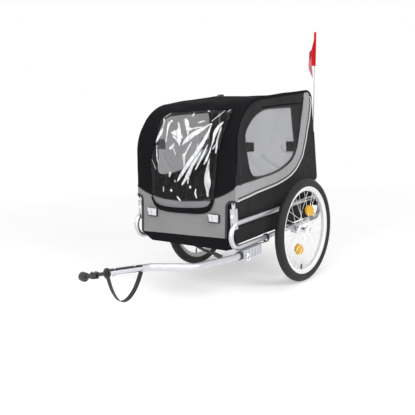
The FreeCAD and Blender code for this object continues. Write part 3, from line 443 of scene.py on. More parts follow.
@dataclass(frozen=True)
class WovenCloth:
    """Coated woven cloth: plain weave, tension creases and a faint unevenness of dye."""

    name: str
    colour: Colour
    fleck: Colour
    fleck_share: float = 0.35
    pitch: float = 0.0011
    crease: float = 0.0016
    roughness: float = 0.68
    sheen: float = 0.12
    gloss: float = 0.35

    def material(self) -> bpy.types.Material:
        """Build the cloth's material.

        Returns:
            The material.
        """
        s = Shader(self.name)
        where = s.place(True)
        over, across = s.waves(where, self.pitch, "X"), s.waves(where, self.pitch, "Y")
        weave = s.math("MULTIPLY", s.math("SUBTRACT", over, 0.5), s.math("SUBTRACT", across, 0.5))
        weave = s.ramp(weave, -0.25, 0.25)
        cloud = s.noise(where, 7.0, 4.0)
        slub = s.noise(s.place(True, (60.0, 900.0, 1.0)), 1.0, 2.0)
        warp = s.noise(s.place(True, (900.0, 60.0, 1.0)), 1.0, 2.0)
        threads = s.ramp(s.math("ADD", slub, warp), 0.86, 1.18, 0.0, self.fleck_share)
        dyed = s.mix(threads, self.colour, self.fleck)
        shade = tuple(0.82 * part for part in self.colour)
        s.set(Base_Color=s.mix(s.ramp(cloud, 0.35, 0.7, 0.0, 0.45), dyed, shade))
        s.set(Roughness=s.ramp(cloud, 0.3, 0.7, self.roughness - 0.06, self.roughness + 0.08))
        s.set(Sheen_Weight=self.sheen, Sheen_Roughness=0.45, Specular_IOR_Level=self.gloss)
        creased = s.bump(s.noise(where, 16.0, 3.0), self.crease * 4.0)
        s.set(Normal=s.bump(weave, self.pitch * 0.22, creased))
        return s.material


@dataclass(frozen=True)
class Webbing:
    """Ribbed woven strap: cross ribs, a stitched line near each edge and worn fibres."""

    name: str
    colour: Colour
    worn: Colour
    rib: float = 0.0016

    def material(self) -> bpy.types.Material:
        """Build the strap's material.

        Returns:
            The material.
        """
        s = Shader(self.name)
        where = s.place(True)
        ribs = s.waves(where, self.rib, "X")
        twill = s.waves(where, self.rib * 2.0, "DIAGONAL")
        height = s.math("ADD", s.math("MULTIPLY", ribs, 0.6), s.math("MULTIPLY", twill, 0.4))
        wear = s.ramp(s.noise(s.place(True, (1.0, 6.0, 1.0)), 60.0, 4.0), 0.48, 0.75, 0.0, 0.7)
        s.set(Base_Color=s.mix(wear, self.colour, self.worn), Roughness=s.ramp(ribs, 0.0, 1.0, 0.8, 0.6))
        s.set(Sheen_Weight=0.15, Sheen_Roughness=0.4, Normal=s.bump(height, self.rib * 0.25))
        return s.material


@dataclass(frozen=True)
class WindowNet:
    """Fine knitted net: rows of small holes in pale yarn."""

    name: str
    colour: Colour
    shade: Colour
    pitch: float = 0.0021
    open_share: float = 0.5

    def material(self) -> bpy.types.Material:
        """Build the net's material, see-through at its holes.

        Returns:
            The material.
        """
        s = Shader(self.name)
        where = s.place(True)
        over, across = s.waves(where, self.pitch, "X"), s.waves(where, self.pitch, "Y")
        hole = s.math("MULTIPLY", over, across)
        cloud = s.ramp(s.noise(where, 5.0, 3.0), 0.3, 0.7)
        s.set(Base_Color=s.mix(cloud, self.colour, self.shade), Roughness=s.ramp(cloud, 0.0, 1.0, 0.62, 0.75))
        s.set(Sheen_Weight=0.1, Sheen_Roughness=0.5, Alpha=s.ramp(hole, 0.32, 0.58, 1.0, self.open_share))
        s.set(Normal=s.bump(hole, self.pitch * 0.3, s.bump(s.noise(where, 9.0, 3.0), 0.004)))
        return s.material


@dataclass(frozen=True)
class PlatedSteel:
    """Plated steel tube: fine drawing marks, cloudy plating and dulled patches."""

    name: str
    colour: Colour
    dull: Colour
    roughness: float = 0.24
    draw: Sequence[float] = (1.0, 0.06, 1.0)

    def material(self) -> bpy.types.Material:
        """Build the metal's material.

        Returns:
            The material.
        """
        s = Shader(self.name)
        drawn = s.noise(s.place(False, self.draw), 420.0, 3.0)
        cloud = s.noise(s.place(False), 24.0, 4.0)
        patch = s.ramp(cloud, 0.42, 0.72, 0.0, 0.45)
        s.set(Base_Color=s.mix(patch, self.colour, self.dull), Metallic=1.0)
        worn = s.math("MULTIPLY_ADD", drawn, 0.05)
        s.feed(worn.node.inputs[2], s.ramp(cloud, 0.3, 0.75, self.roughness - 0.04, self.roughness + 0.06))
        s.set(Roughness=worn, Normal=s.bump(drawn, 0.00003))
        return s.material


@dataclass(frozen=True)
class MouldedPlastic:
    """Moulded plastic: fine spark grain, slight colour drift and rubbed spots."""

    name: str
    colour: Colour
    rubbed: Colour
    roughness: float = 0.42
    grain: float = 900.0
    coat: float = 0.0

    def material(self) -> bpy.types.Material:
        """Build the plastic's material.

        Returns:
            The material.
        """
        s = Shader(self.name)
        where = s.place(False)
        drift = s.noise(where, 30.0, 4.0)
        s.set(Base_Color=s.mix(s.ramp(drift, 0.45, 0.75, 0.0, 0.6), self.colour, self.rubbed))
        s.set(Roughness=s.ramp(drift, 0.3, 0.7, self.roughness - 0.05, self.roughness + 0.1))
        s.set(Coat_Weight=self.coat, Coat_Roughness=0.12, Normal=s.bump(s.noise(where, self.grain, 2.0), 0.00006))
        return s.material


@dataclass(frozen=True)
class TyreRubber:
    """Black rubber: tread blocks round the crown, mould rings on the walls and a faint bloom of dust."""

    name: str
    colour: Colour
    bloom: Colour
    hub: tuple[float, float, float] = (0.0, 0.4524, 0.250)
    crown: float = 0.241
    blocks: int = 84

    def material(self) -> bpy.types.Material:
        """Build the rubber's material.

        Returns:
            The material.
        """
        s = Shader(self.name)
        where = s.place(False)
        dust = s.ramp(s.noise(where, 42.0, 5.0), 0.42, 0.8, 0.0, 0.55)
        s.set(Base_Color=s.mix(dust, self.colour, self.bloom), Roughness=s.ramp(dust, 0.0, 0.5, 0.55, 0.75))
        spoke = s.node("VectorMath", {"operation": "SUBTRACT"}, {0: where, 1: self.hub}).outputs[0]
        parts = s.node("SeparateXYZ", None, {0: spoke})
        squares = [s.math("POWER", parts.outputs[number], 2.0) for number in (1, 2)]
        reach = s.math("SQRT", s.math("ADD", *squares))
        turn = s.math("ARCTAN2", parts.outputs[1], parts.outputs[2])
        block = s.ramp(s.math("SINE", s.math("MULTIPLY", turn, float(self.blocks))), -0.35, 0.15)
        tread = s.math("MULTIPLY", block, s.ramp(reach, self.crown, self.crown + 0.003))
        rings = s.math("SINE", s.math("MULTIPLY", reach, 1400.0))
        grain = s.bump(s.noise(where, 700.0, 3.0), 0.0002, s.bump(rings, 0.0003))
        s.set(Normal=s.bump(tread, 0.0022, grain), Specular_IOR_Level=0.4)
        return s.material


@dataclass(frozen=True)
class ReflectorLens:
    """Clear moulded lens over a field of small corner-cube prisms."""

    name: str
    colour: Colour
    deep: Colour
    prism: float = 0.0034

    def material(self) -> bpy.types.Material:
        """Build the lens's material.

        Returns:
            The material.
        """
        s = Shader(self.name)
        where = s.place(False)
        cells = s.node("TexVoronoi", {"feature": "F1", "distance": "CHEBYCHEV"},
                       {"Vector": where, "Scale": 1.0 / self.prism, "Randomness": 0.0}).outputs["Distance"]
        s.set(Base_Color=s.mix(s.ramp(cells, 0.1, 0.5), self.colour, self.deep), Roughness=0.3)
        s.set(Specular_IOR_Level=0.25, Coat_Weight=0.12, Coat_Roughness=0.06)
        s.set(Normal=s.bump(cells, self.prism * 0.5))
        return s.material


@dataclass(frozen=True)
class ClearSheet:
    """Soft clear sheet: see-through and glossy, with scuffs, and white fold streaks that are partly milk-white
    creases and partly painted highlights.
    """

    name: str
    milky_and_highlight: Colour
    haze: float = 0.003
    coat: float = 0.3

    def material(self) -> bpy.types.Material:
        """Build the sheet's material: clear, pale at scuffs, and white along the folds as painted highlight and
        crease.

        Returns:
            The material.
        """
        s = Shader(self.name)
        where = s.place(True)
        # The crease attribute holds the fold streaks, whitened where the folds lie: painted highlights of the lamps,
        # partly milk-white creases.
        crease = s.node("Attribute", {"attribute_name": "crease"}).outputs["Fac"]
        broken = s.ramp(s.noise(s.place(True, (1.0, 0.4, 1.0)), 70.0, 4.0), 0.3, 0.55, 0.45, 1.0)
        crease = s.math("MULTIPLY", crease, broken)
        scuff = s.ramp(s.noise(s.place(True, (1.0, 0.25, 1.0)), 46.0, 5.0), 0.5, 0.85, self.haze, self.haze + 0.04)
        # The pale base colour shows wherever transmission drops: at scuffs, and along the folds as painted
        # highlight.
        s.set(Base_Color=(*self.milky_and_highlight, 1.0), Roughness=0.04, IOR=1.03)
        s.set(Coat_Weight=self.coat, Coat_Roughness=0.03, Coat_IOR=1.5)
        s.set(Transmission_Weight=s.math("SUBTRACT", 1.0, s.math("MAXIMUM", crease, scuff)))
        gloss = s.bump(s.noise(where, 26.0, 2.0), 0.0010)
        s.set(Normal=gloss, Coat_Normal=gloss)
        return s.material


# Stage, camera and light


@dataclass
class Studio:
    """Pale floor, white surround, soft lamps and the camera at the photograph's viewpoint."""

    axle_y: float
    eye: tuple[float, float, float] = (1.8130, -2.6591, 0.9690)
    right: tuple[float, float, float] = (0.7932, 0.6071, -0.0462)
    up: tuple[float, float, float] = (-0.0802, 0.1795, 0.9805)
    focal_pixels: float = 639.4
    frame_pixels: float = 415.0
    sensor: float = 36.0
    aim: tuple[float, float, float] = (0.0, -0.15, 0.5)
    ambient: float = 0.42
    floor_fade: tuple[float, float] = (1.3, 3.2)
    floor_glow: float = 0.36
    floor_tones: tuple[Colour, Colour] = ((0.83, 0.83, 0.835), (0.85, 0.85, 0.85))
    lamps: tuple[tuple[str, tuple[float, float, float], tuple[float, float], float], ...] = (
        ("front softbox", (-0.6, -3.6, 2.7), (2.4, 1.8), 68.0),
        ("side softbox", (3.4, -0.8, 2.5), (2.0, 1.6), 80.0),
        ("top softbox", (0.2, 0.2, 3.6), (2.6, 2.6), 16.0),
        ("fill softbox", (1.6, -3.6, 1.5), (1.4, 1.0), 26.0))

    def camera(self) -> None:
        """Place the camera fitted to the photograph."""
        data = bpy.data.cameras.new("camera")
        data.sensor_width = self.sensor
        data.lens = self.focal_pixels / self.frame_pixels * self.sensor
        data.clip_end = 60.0
        right, up = np.array(self.right), np.array(self.up)
        right = right / np.linalg.norm(right)
        back = np.cross(right, up)
        back = back / np.linalg.norm(back)
        up = np.cross(back, right)
        turn = Matrix(np.stack([right, up, back], axis=1).tolist()).to_4x4()
        made = bpy.data.objects.new("camera", data)
        made.matrix_world = Matrix.Translation((self.eye[0], self.eye[1] + self.axle_y, self.eye[2])) @ turn
        bpy.context.scene.collection.objects.link(made)
        bpy.context.scene.camera = made

    def lamp(self, name: str, place: tuple[float, float, float], size: tuple[float, float], power: float) -> None:
        """Hang a soft box and turn it to the trailer.

        Args:
            name: Lamp name.
            place: Where it hangs, about the axle.
            size: Width and height.
            power: Watts.
        """
        data = bpy.data.lights.new(name, "AREA")
        data.shape = "RECTANGLE"
        data.size, data.size_y = size
        data.energy = power
        made = bpy.data.objects.new(name, data)
        start = np.array(place)
        way = np.array(self.aim) - start
        way = way / np.linalg.norm(way)
        side = np.cross(way, (0.0, 0.0, 1.0))
        side = side / np.linalg.norm(side)
        turn = Matrix(np.stack([side, np.cross(side, way), -way], axis=1).tolist()).to_4x4()
        made.matrix_world = Matrix.Translation((place[0], place[1] + self.axle_y, place[2])) @ turn
        made.visible_transmission = False
        bpy.context.scene.collection.objects.link(made)

    def surround(self) -> None:
        """White surround for the camera, gloss and clear pieces, and a dimmer one for plain light."""
        world = bpy.data.worlds.new("surround")
        world.use_nodes = True
        tree = world.node_tree
        path = tree.nodes.new("ShaderNodeLightPath").outputs
        first = tree.nodes.new("ShaderNodeMath")
        first.operation = "LESS_THAN"
        first.inputs[1].default_value = 0.5
        tree.links.new(path["Diffuse Depth"], first.inputs[0])
        seen = path["Is Camera Ray"]
        for operation, other in (("MAXIMUM", path["Is Transmission Ray"]), ("MAXIMUM", path["Is Glossy Ray"]),
                                 ("MULTIPLY", first.outputs[0])):
            step = tree.nodes.new("ShaderNodeMath")
            step.operation = operation
            tree.links.new(seen, step.inputs[0])
            tree.links.new(other, step.inputs[1])
            seen = step.outputs[0]
        level = tree.nodes.new("ShaderNodeMapRange")
        level.inputs[3].default_value = self.ambient
        level.inputs[4].default_value = 1.0
        tree.links.new(seen, level.inputs[0])
        back = tree.nodes["Background"]
        back.inputs["Color"].default_value = (1.0, 1.0, 1.0, 1.0)
        tree.links.new(level.outputs[0], back.inputs["Strength"])
        bpy.context.scene.world = world

    def floor(self) -> None:
        """Round floor that fades into the surround and keeps the trailer's soft shadow."""
        turn = np.linspace(0.0, 2.0 * np.pi, 97)[:-1]
        reach = np.linspace(0.0, 30.0, 24)
        points = np.stack([reach[:, None] * np.cos(turn), reach[:, None] * np.sin(turn),
                           np.zeros((len(reach), len(turn)))], axis=-1)
        sheet = surface_object("floor", points, wrap_v=True)
        s = Shader("pale floor")
        s.set(Roughness=0.9, Specular_IOR_Level=0.0)
        cloud = s.noise(s.place(False), 1.4, 2.0)
        away = s.node("VectorMath", {"operation": "LENGTH"}, {0: s.place(False)}).outputs["Value"]
        far = s.ramp(away, *self.floor_fade)
        s.set(Base_Color=s.mix(far, s.mix(cloud, *self.floor_tones), (0.0, 0.0, 0.0)))
        s.set(Emission_Color=(1.0, 1.0, 1.0, 1.0))
        path = s.node("LightPath")
        seen = s.math("MAXIMUM", path.outputs["Is Camera Ray"], path.outputs["Is Transmission Ray"])
        seen = s.math("MAXIMUM", seen, path.outputs["Is Glossy Ray"])
        seen = s.math("MULTIPLY", seen, s.math("LESS_THAN", path.outputs["Diffuse Depth"], 0.5))
        s.set(Emission_Strength=s.math("MULTIPLY", seen, s.ramp(far, 0.0, 1.0, self.floor_glow, 1.0)))
        sheet.data.materials.append(s.material)

    def build(self) -> None:
        """Set up the whole studio."""
        bpy.context.scene.view_settings.view_transform = "Standard"
        self.camera()
        self.surround()
        self.floor()
        for lamp in self.lamps:
            self.lamp(*lamp)


# Cabin


def line_distance(places: Array, line: Array) -> Array:
    """Distance from each place to the nearest point of a polyline.

    Args:
        places: Places shaped (..., 2).
        line: Points of the polyline.

    Returns:
        Distances shaped like the places.
    """
    nearest = np.full(places.shape[:-1], np.inf)
    for start, end in zip(line[:-1], line[1:]):
        way = end - start
        share = np.clip(((places - start) @ way) / (way @ way), 0.0, 1.0)
        nearest = np.minimum(nearest, np.linalg.norm(places - start - share[..., None] * way, axis=-1))
    return nearest


@dataclass
class CabinShape:
    """The cabin's outer faces: a wrap over front, roof and rear, and a flat cloth on each side.

    The wrap is the side-view outline carried from side to side, with a rounded fall at both edges. The
    right frame nests inside the left one, so the right edge has its own, lower outline, and the wrap runs
    straight from one to the other. A place on it is (s, t): s runs along the outline from the front foot
    over the roof to the rear foot, and t runs across. A place on a side is (y, z), about the axle.
    """

    axle_y: float
    half_width: float = 0.278
    edge_radius: float = 0.010
    foot_z: float = 0.262
    front_foot_y: float = -0.530
    waist: tuple[float, float] = (0.238, 0.440)
    left_tops: tuple[tuple[float, float], ...] = ((-0.468, 0.893), (0.190, 0.917))
    right_tops: tuple[tuple[float, float], ...] = ((-0.4797, 0.8613), (-0.150, 0.886), (0.190, 0.901))
    left_bends: tuple[float, ...] = (0.210, 0.055, 0.210)
    right_bends: tuple[float, ...] = (0.236, 0.500, 0.055, 0.210)
    tub_top: float = 0.415
    rail_z: float = 0.386
    rail_x: float = 0.2625
    roof_sag: float = 0.013
    rear_tuck: float = 0.0065
    tuck_z: float = 0.707
    right_drop: tuple[float, float] = (0.019, -0.012)
    right_back: tuple[float, float] = (0.066, 0.104)
    drop_bands: tuple[tuple[float, float], ...] = ((0.42, 0.53), (0.60, 0.82), (0.845, 0.865))
    back_bands: tuple[tuple[float, float], ...] = ((-0.35, -0.03), (-0.50, -0.40), (-0.02, 0.17),
                                                   (0.46, 0.70))
    tube_ridge: tuple[tuple[float, float], ...] = ((-0.458, 0.545), (-0.468, 0.638), (-0.474, 0.723),
                                                   (-0.443, 0.796), (-0.374, 0.853), (-0.272, 0.888))
    ridge_height: float = 0.0035
    ridge_width: float = 0.011
    sag_start_y: float = -0.36
    sag_end_z: float = 0.86
    sag_ease: tuple[float, float] = (0.34, 0.12)
    wrap_waves: Waves = ((0.0013, 3.1, 2.3, 0.4), (0.0009, -5.2, 4.1, 1.7), (0.0006, 7.3, 6.7, 2.9))
    side_waves: Waves = ((0.0012, 2.1, 3.4, 0.3), (0.0008, 5.6, -3.7, 1.9), (0.0005, 8.3, 9.1, 0.8))
    lines: list[Array] = field(init=False)
    line: Array = field(init=False)
    reach: Array = field(init=False)
    edge: float = field(init=False)

    def __post_init__(self) -> None:
        """Work out both outlines, their shared running length and the half length across."""
        self.lines = []
        for tops, bends in ((self.left_tops, self.left_bends), (self.right_tops, self.right_bends)):
            corners = [(self.front_foot_y, self.foot_z), *tops, self.waist, (self.waist[0], self.foot_z)]
            self.lines.append(resampled(rounded_line(corners, bends, arc_steps=48), 900))
        self.line = (self.lines[0] + self.lines[1]) / 2.0
        self.reach = arc_lengths(self.line)
        self.edge = self.half_width - self.edge_radius * (1.0 - np.pi / 2.0)

    def outline(self, s: Array, share: Array | float) -> tuple[Array, Array]:
        """Place and outward way at running length s, between the two edges' outlines.

        Args:
            s: Running lengths.
            share: 0 at the left edge to 1 at the right edge.

        Returns:
            Points (y, z) and unit outward directions.
        """
        share = np.asarray(share, float)[..., None]
        point, ahead = 0.0, 0.0
        for line, weight in zip(self.lines, (1.0 - share, share)):
            way = np.gradient(line, self.reach, axis=0)
            point = point + weight * np.stack([np.interp(s, self.reach, line[:, axis]) for axis in (0, 1)], axis=-1)
            ahead = ahead + weight * np.stack([np.interp(s, self.reach, way[:, axis]) for axis in (0, 1)], axis=-1)
        ahead = ahead / np.linalg.norm(ahead, axis=-1, keepdims=True)
        outward = np.stack([-ahead[..., 1], ahead[..., 0]], axis=-1)
        step = float(self.rear_s(self.tuck_z))
        tucked = smooth_step(s, self.rear_s(0.89), self.rear_s(0.83)) * (1.0 - smooth_step(s, step, step + 0.008))
        return point - outward * (self.rear_tuck * tucked)[..., None], outward

    def front_s(self, z: Array | float) -> Array:
        """Running length where the front reaches a height."""
        top = int(np.argmax(self.line[:, 1]))
        return np.interp(z, self.line[:top, 1], self.reach[:top])

    def rear_s(self, z: Array | float) -> Array:
        """Running length where the rear reaches a height."""
        start = int(len(self.line) * 0.66)
        return np.interp(-np.asarray(z), -self.line[start:, 1], self.reach[start:])

    def roof_s(self, y: Array | float) -> Array:
        """Running length where the roof reaches a place fore and aft.

        Args:
            y: Places fore and aft, about the axle.

        Returns:
            Running lengths along the outline.
        """
        top = int(np.argmax(self.line[:, 1]))
        low = int(np.searchsorted(self.line[:top, 1], 0.80))
        return np.interp(y, self.line[low:top, 0], self.reach[low:top])

    def slack(self, s: Array, t: Array) -> Array:
        """Outward shift of the wrap: the roof hangs between its edges towards the rear, and all of it is rippled.

        The sag is a parabola across times an ease along the roof; the ripples fade towards the edges.

        Args:
            s: Running lengths along the outline.
            t: Lengths across.

        Returns:
            Shift at each place, metres.
        """
        crown = np.clip(1.0 - (t / self.edge) ** 2, 0.0, 1.0)
        start, end = self.roof_s(self.sag_start_y), self.rear_s(self.sag_end_z)
        ease_in, ease_out = self.sag_ease
        along = smooth_step(s, start, start + ease_in) * (1.0 - smooth_step(s, end, end + ease_out))
        folds = ripples(t, s, self.wrap_waves)
        return folds * crown ** 0.5 - self.roof_sag * crown * along

    def wrap(self, s: Array, t: Array, lift: float | Array = 0.0) -> Array:
        """Points of the wrap: the outline's point, shifted outward, and inward round the edge's quarter circle.

        Args:
            s: Running lengths along the outline.
            t: Lengths across, up to the edge on either side.
            lift: Extra outward shift.

        Returns:
            Points in the frame.
        """
        s, t = np.broadcast_arrays(np.asarray(s, float), np.asarray(t, float))
        flat = self.half_width - self.edge_radius
        turn = np.clip((np.abs(t) - flat) / self.edge_radius, 0.0, np.pi / 2.0)
        x = np.sign(t) * (np.minimum(np.abs(t), flat) + (self.edge_radius + lift) * np.sin(turn))
        fall = (self.edge_radius + lift) * (1.0 - np.cos(turn))
        point, outward = self.outline(s, np.clip((1.0 - t / self.edge) / 2.0, 0.0, 1.0))
        place = point + outward * (self.slack(s, t) + lift - fall)[..., None]
        return np.stack([x, place[..., 0] + self.axle_y, place[..., 1]], axis=-1)

    def outward(self, s: Array, t: Array) -> Array:
        """Unit outward way of the wrap."""
        way = self.wrap(s, t, 0.001) - self.wrap(s, t)
        return way / np.linalg.norm(way, axis=-1, keepdims=True)

    def side(self, y: Array, z: Array, side: Side, lift: float | Array = 0.0) -> Array:
        """Points of a side: flat, drawn in to the rail at its foot, rippled, and raised over the frame's tube.

        Args:
            y: Places fore and aft, about the axle.
            z: Heights.
            side: Which side.
            lift: Outward shift.

        Returns:
            Points in the frame.
        """
        y, z = np.broadcast_arrays(np.asarray(y, float), np.asarray(z, float))
        drawn = (self.half_width - self.rail_x) * (1.0 - smooth_step(z, self.rail_z, 0.50))
        folds = ripples(y, z, self.side_waves)
        inner = smooth_step(z, 0.40, 0.47) * (1.0 - smooth_step(z, 0.84, 0.89))
        away = line_distance(np.stack([y, z], axis=-1), np.asarray(self.tube_ridge))
        ridge = self.ridge_height * np.exp(-(away / self.ridge_width) ** 2)
        x = self.half_width - drawn + folds * inner + ridge + lift
        return np.stack([side.value * x, y + self.axle_y, z], axis=-1)

    def settled(self, places: Array, side: Side) -> Array:
        """Places on a side, let down and set back on the right, where the nested frame stands lower.

        Args:
            places: Places (y, z) as on the left side.
            side: Which side.

        Returns:
            Places (y, z) on that side.
        """
        if side is Side.LEFT:
            return places
        y, z = places[..., 0], places[..., 1]
        low, high = self.right_drop
        starts, grows, ends = self.drop_bands
        drop = low * smooth_step(z, *starts) + (high - low) * smooth_step(z, *grows)
        drop = drop - high * smooth_step(z, *ends)
        fore, aft = self.right_back
        grows, starts, ends, rises = self.back_bands
        back = (fore + (aft - fore) * smooth_step(y, *grows)) * smooth_step(y, *starts)
        back = back * (1.0 - smooth_step(y, *ends)) * smooth_step(z, *rises)
        return places + np.stack([back, -drop], axis=-1)

    def edge_line(self, s: Array, side: Side) -> Array:
        """Line (y, z) on a side where the wrap's rounded edge meets it."""
        point, outward = self.outline(s, np.zeros(np.shape(s)) if side is Side.LEFT else np.ones(np.shape(s)))
        return point - outward * self.edge_radius


def ray_matched(loop: Array, centre: tuple[float, float], count: int) -> Array:
    """Points where evenly turned rays from a centre meet a closed loop that surrounds it.

    Args:
        loop: Loop points.
        centre: Point that sees all of the loop.
        count: How many rays.

    Returns:
        One point for each ray, in order of turn.
    """
    away = loop - np.asarray(centre)
    turn = np.arctan2(away[:, 1], away[:, 0])
    order = np.argsort(turn)
    rays = np.linspace(-np.pi, np.pi, count, endpoint=False)
    radius = np.interp(rays, turn[order], np.linalg.norm(away, axis=1)[order], period=2.0 * np.pi)
    return np.asarray(centre) + radius[:, None] * np.stack([np.cos(rays), np.sin(rays)], axis=1)


def between(first: Array, second: Array, rows: int) -> Array:
    """Grid of places that runs straight from one line to another.

    Args:
        first: Points of the first line.
        second: As many points of the second line.
        rows: Rows of the grid.

    Returns:
        Places shaped (rows, points, 2).
    """
    share = np.linspace(0.0, 1.0, rows)[:, None, None]
    return first[None] * (1.0 - share) + second[None] * share


def densely(corners: Sequence[tuple[float, float]], count: int = 600) -> Array:
    """Even points along a polyline of corners."""
    return resampled(np.asarray(corners, float), count)


def stitches(name: str, path: Array, outward: Array, length: float = 0.0042, gap: float = 0.0026,
             width: float = 0.0011) -> bpy.types.Object:
    """A row of thread stitches along a line: each is a small pointed oval of six-sided rings.

    Args:
        name: Name of the object.
        path: Points of the line, in order.
        outward: Outward way of the cloth at each point, or one for all.
        length: Length of a stitch.
        gap: Space between stitches.
        width: Thread width.

    Returns:
        The new object.
    """
    reach = arc_lengths(path)
    starts = np.arange(gap, reach[-1] - length, length + gap)
    share = np.array([0.0, 0.15, 0.5, 0.85, 1.0])
    swell = np.array([0.02, 0.8, 1.0, 0.8, 0.02]) * width / 2.0
    places = starts[:, None] + share * length
    middle = np.stack([np.interp(places, reach, path[:, axis]) for axis in range(3)], axis=-1)
    facing = np.broadcast_to(outward, path.shape)
    facing = np.stack([np.interp(places, reach, facing[:, axis]) for axis in range(3)], axis=-1)
    ahead = middle[:, -1:] - middle[:, :1]
    across = np.cross(np.broadcast_to(ahead, facing.shape), facing)
    across = across / np.linalg.norm(across, axis=-1, keepdims=True)
    turn = np.linspace(0.0, 2.0 * np.pi, 6, endpoint=False)
    ring = (across[:, :, None] * np.cos(turn)[:, None] + facing[:, :, None] * np.sin(turn)[:, None])
    points = middle[:, :, None] + ring * swell[None, :, None, None]
    count, rings, sides = points.shape[:3]
    one = np.arange(rings * sides).reshape(rings, sides)
    quads = np.stack([one[:-1], np.roll(one[:-1], -1, axis=1), np.roll(one[1:], -1, axis=1), one[1:]], axis=-1)
    quads = (quads.reshape(1, -1, 4) + (np.arange(count) * rings * sides)[:, None, None]).reshape(-1, 4)
    mesh = bpy.data.meshes.new(name)
    mesh.from_pydata(points.reshape(-1, 3).tolist(), [], quads.tolist())
    mesh.polygons.foreach_set("use_smooth", np.ones(len(quads), dtype=bool))
    mesh.validate()
    piece = bpy.data.objects.new(name, mesh)
    bpy.context.scene.collection.objects.link(piece)
    return piece


def mesh_area(piece: bpy.types.Object) -> float:
    """Add up the face areas of a piece's mesh.

    Args:
        piece: The piece.

    Returns:
        Area in square metres.
    """
    areas = np.zeros(len(piece.data.polygons), dtype=np.float32)
    piece.data.polygons.foreach_get("area", areas)
    return float(areas.sum())


@dataclass
class Outfit:
    """The finishes in use, and the way a piece is dressed, carried and measured."""

    materials: dict[str, bpy.types.Material]
    slots: dict[str, str]
    tub_top: float
    fold_keep: float = 0.14
    width_limits: tuple[float, float] = (1.02, 3.0)

    def dress(self, piece: bpy.types.Object, finish: str, body: str, nodes: Sequence[str] = (),
              folds: bool = False, down_to: float | None = None) -> bpy.types.Object:
        """Give a piece its finish and the body that carries it.

        Args:
            piece: Piece to dress.
            finish: Name of the finish.
            body: Name of the body.
            nodes: Nodes that the piece stands for.
            folds: Whether it gets a mesh of its own.
            down_to: Height other than the top of the tub; not used.

        Returns:
            The same piece.
        """
        piece.data.materials.clear()
        piece.data.materials.append(self.materials[finish])
        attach(piece, body)
        if nodes:
            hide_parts(*nodes)
        if folds:
            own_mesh(piece)
        LOG.info("%s: %s on %s, %d faces", piece.name, finish, body, len(piece.data.polygons))
        return piece

    def declare(self, piece: bpy.types.Object, rests_on: Sequence[str], held: str = "stretched") -> None:
        """Measure a sheet's length, width and area from its finished mesh; nothing is done with them.

        The length is the longest side of the mesh's box. The width is the second side, held within limits of
        area over length. So it isn't a cutting pattern, and a size test of it proves nothing of the cloth.

        Args:
            piece: The sheet.
            rests_on: What holds it; not used.
            held: How it is held; not used.
        """
        corners = np.array(piece.bound_box)
        spans = np.sort(corners.max(axis=0) - corners.min(axis=0))
        area, length = mesh_area(piece), float(spans[2])
        least, most = (limit * area / length for limit in self.width_limits)
        width = float(np.clip(spans[1], least, most))


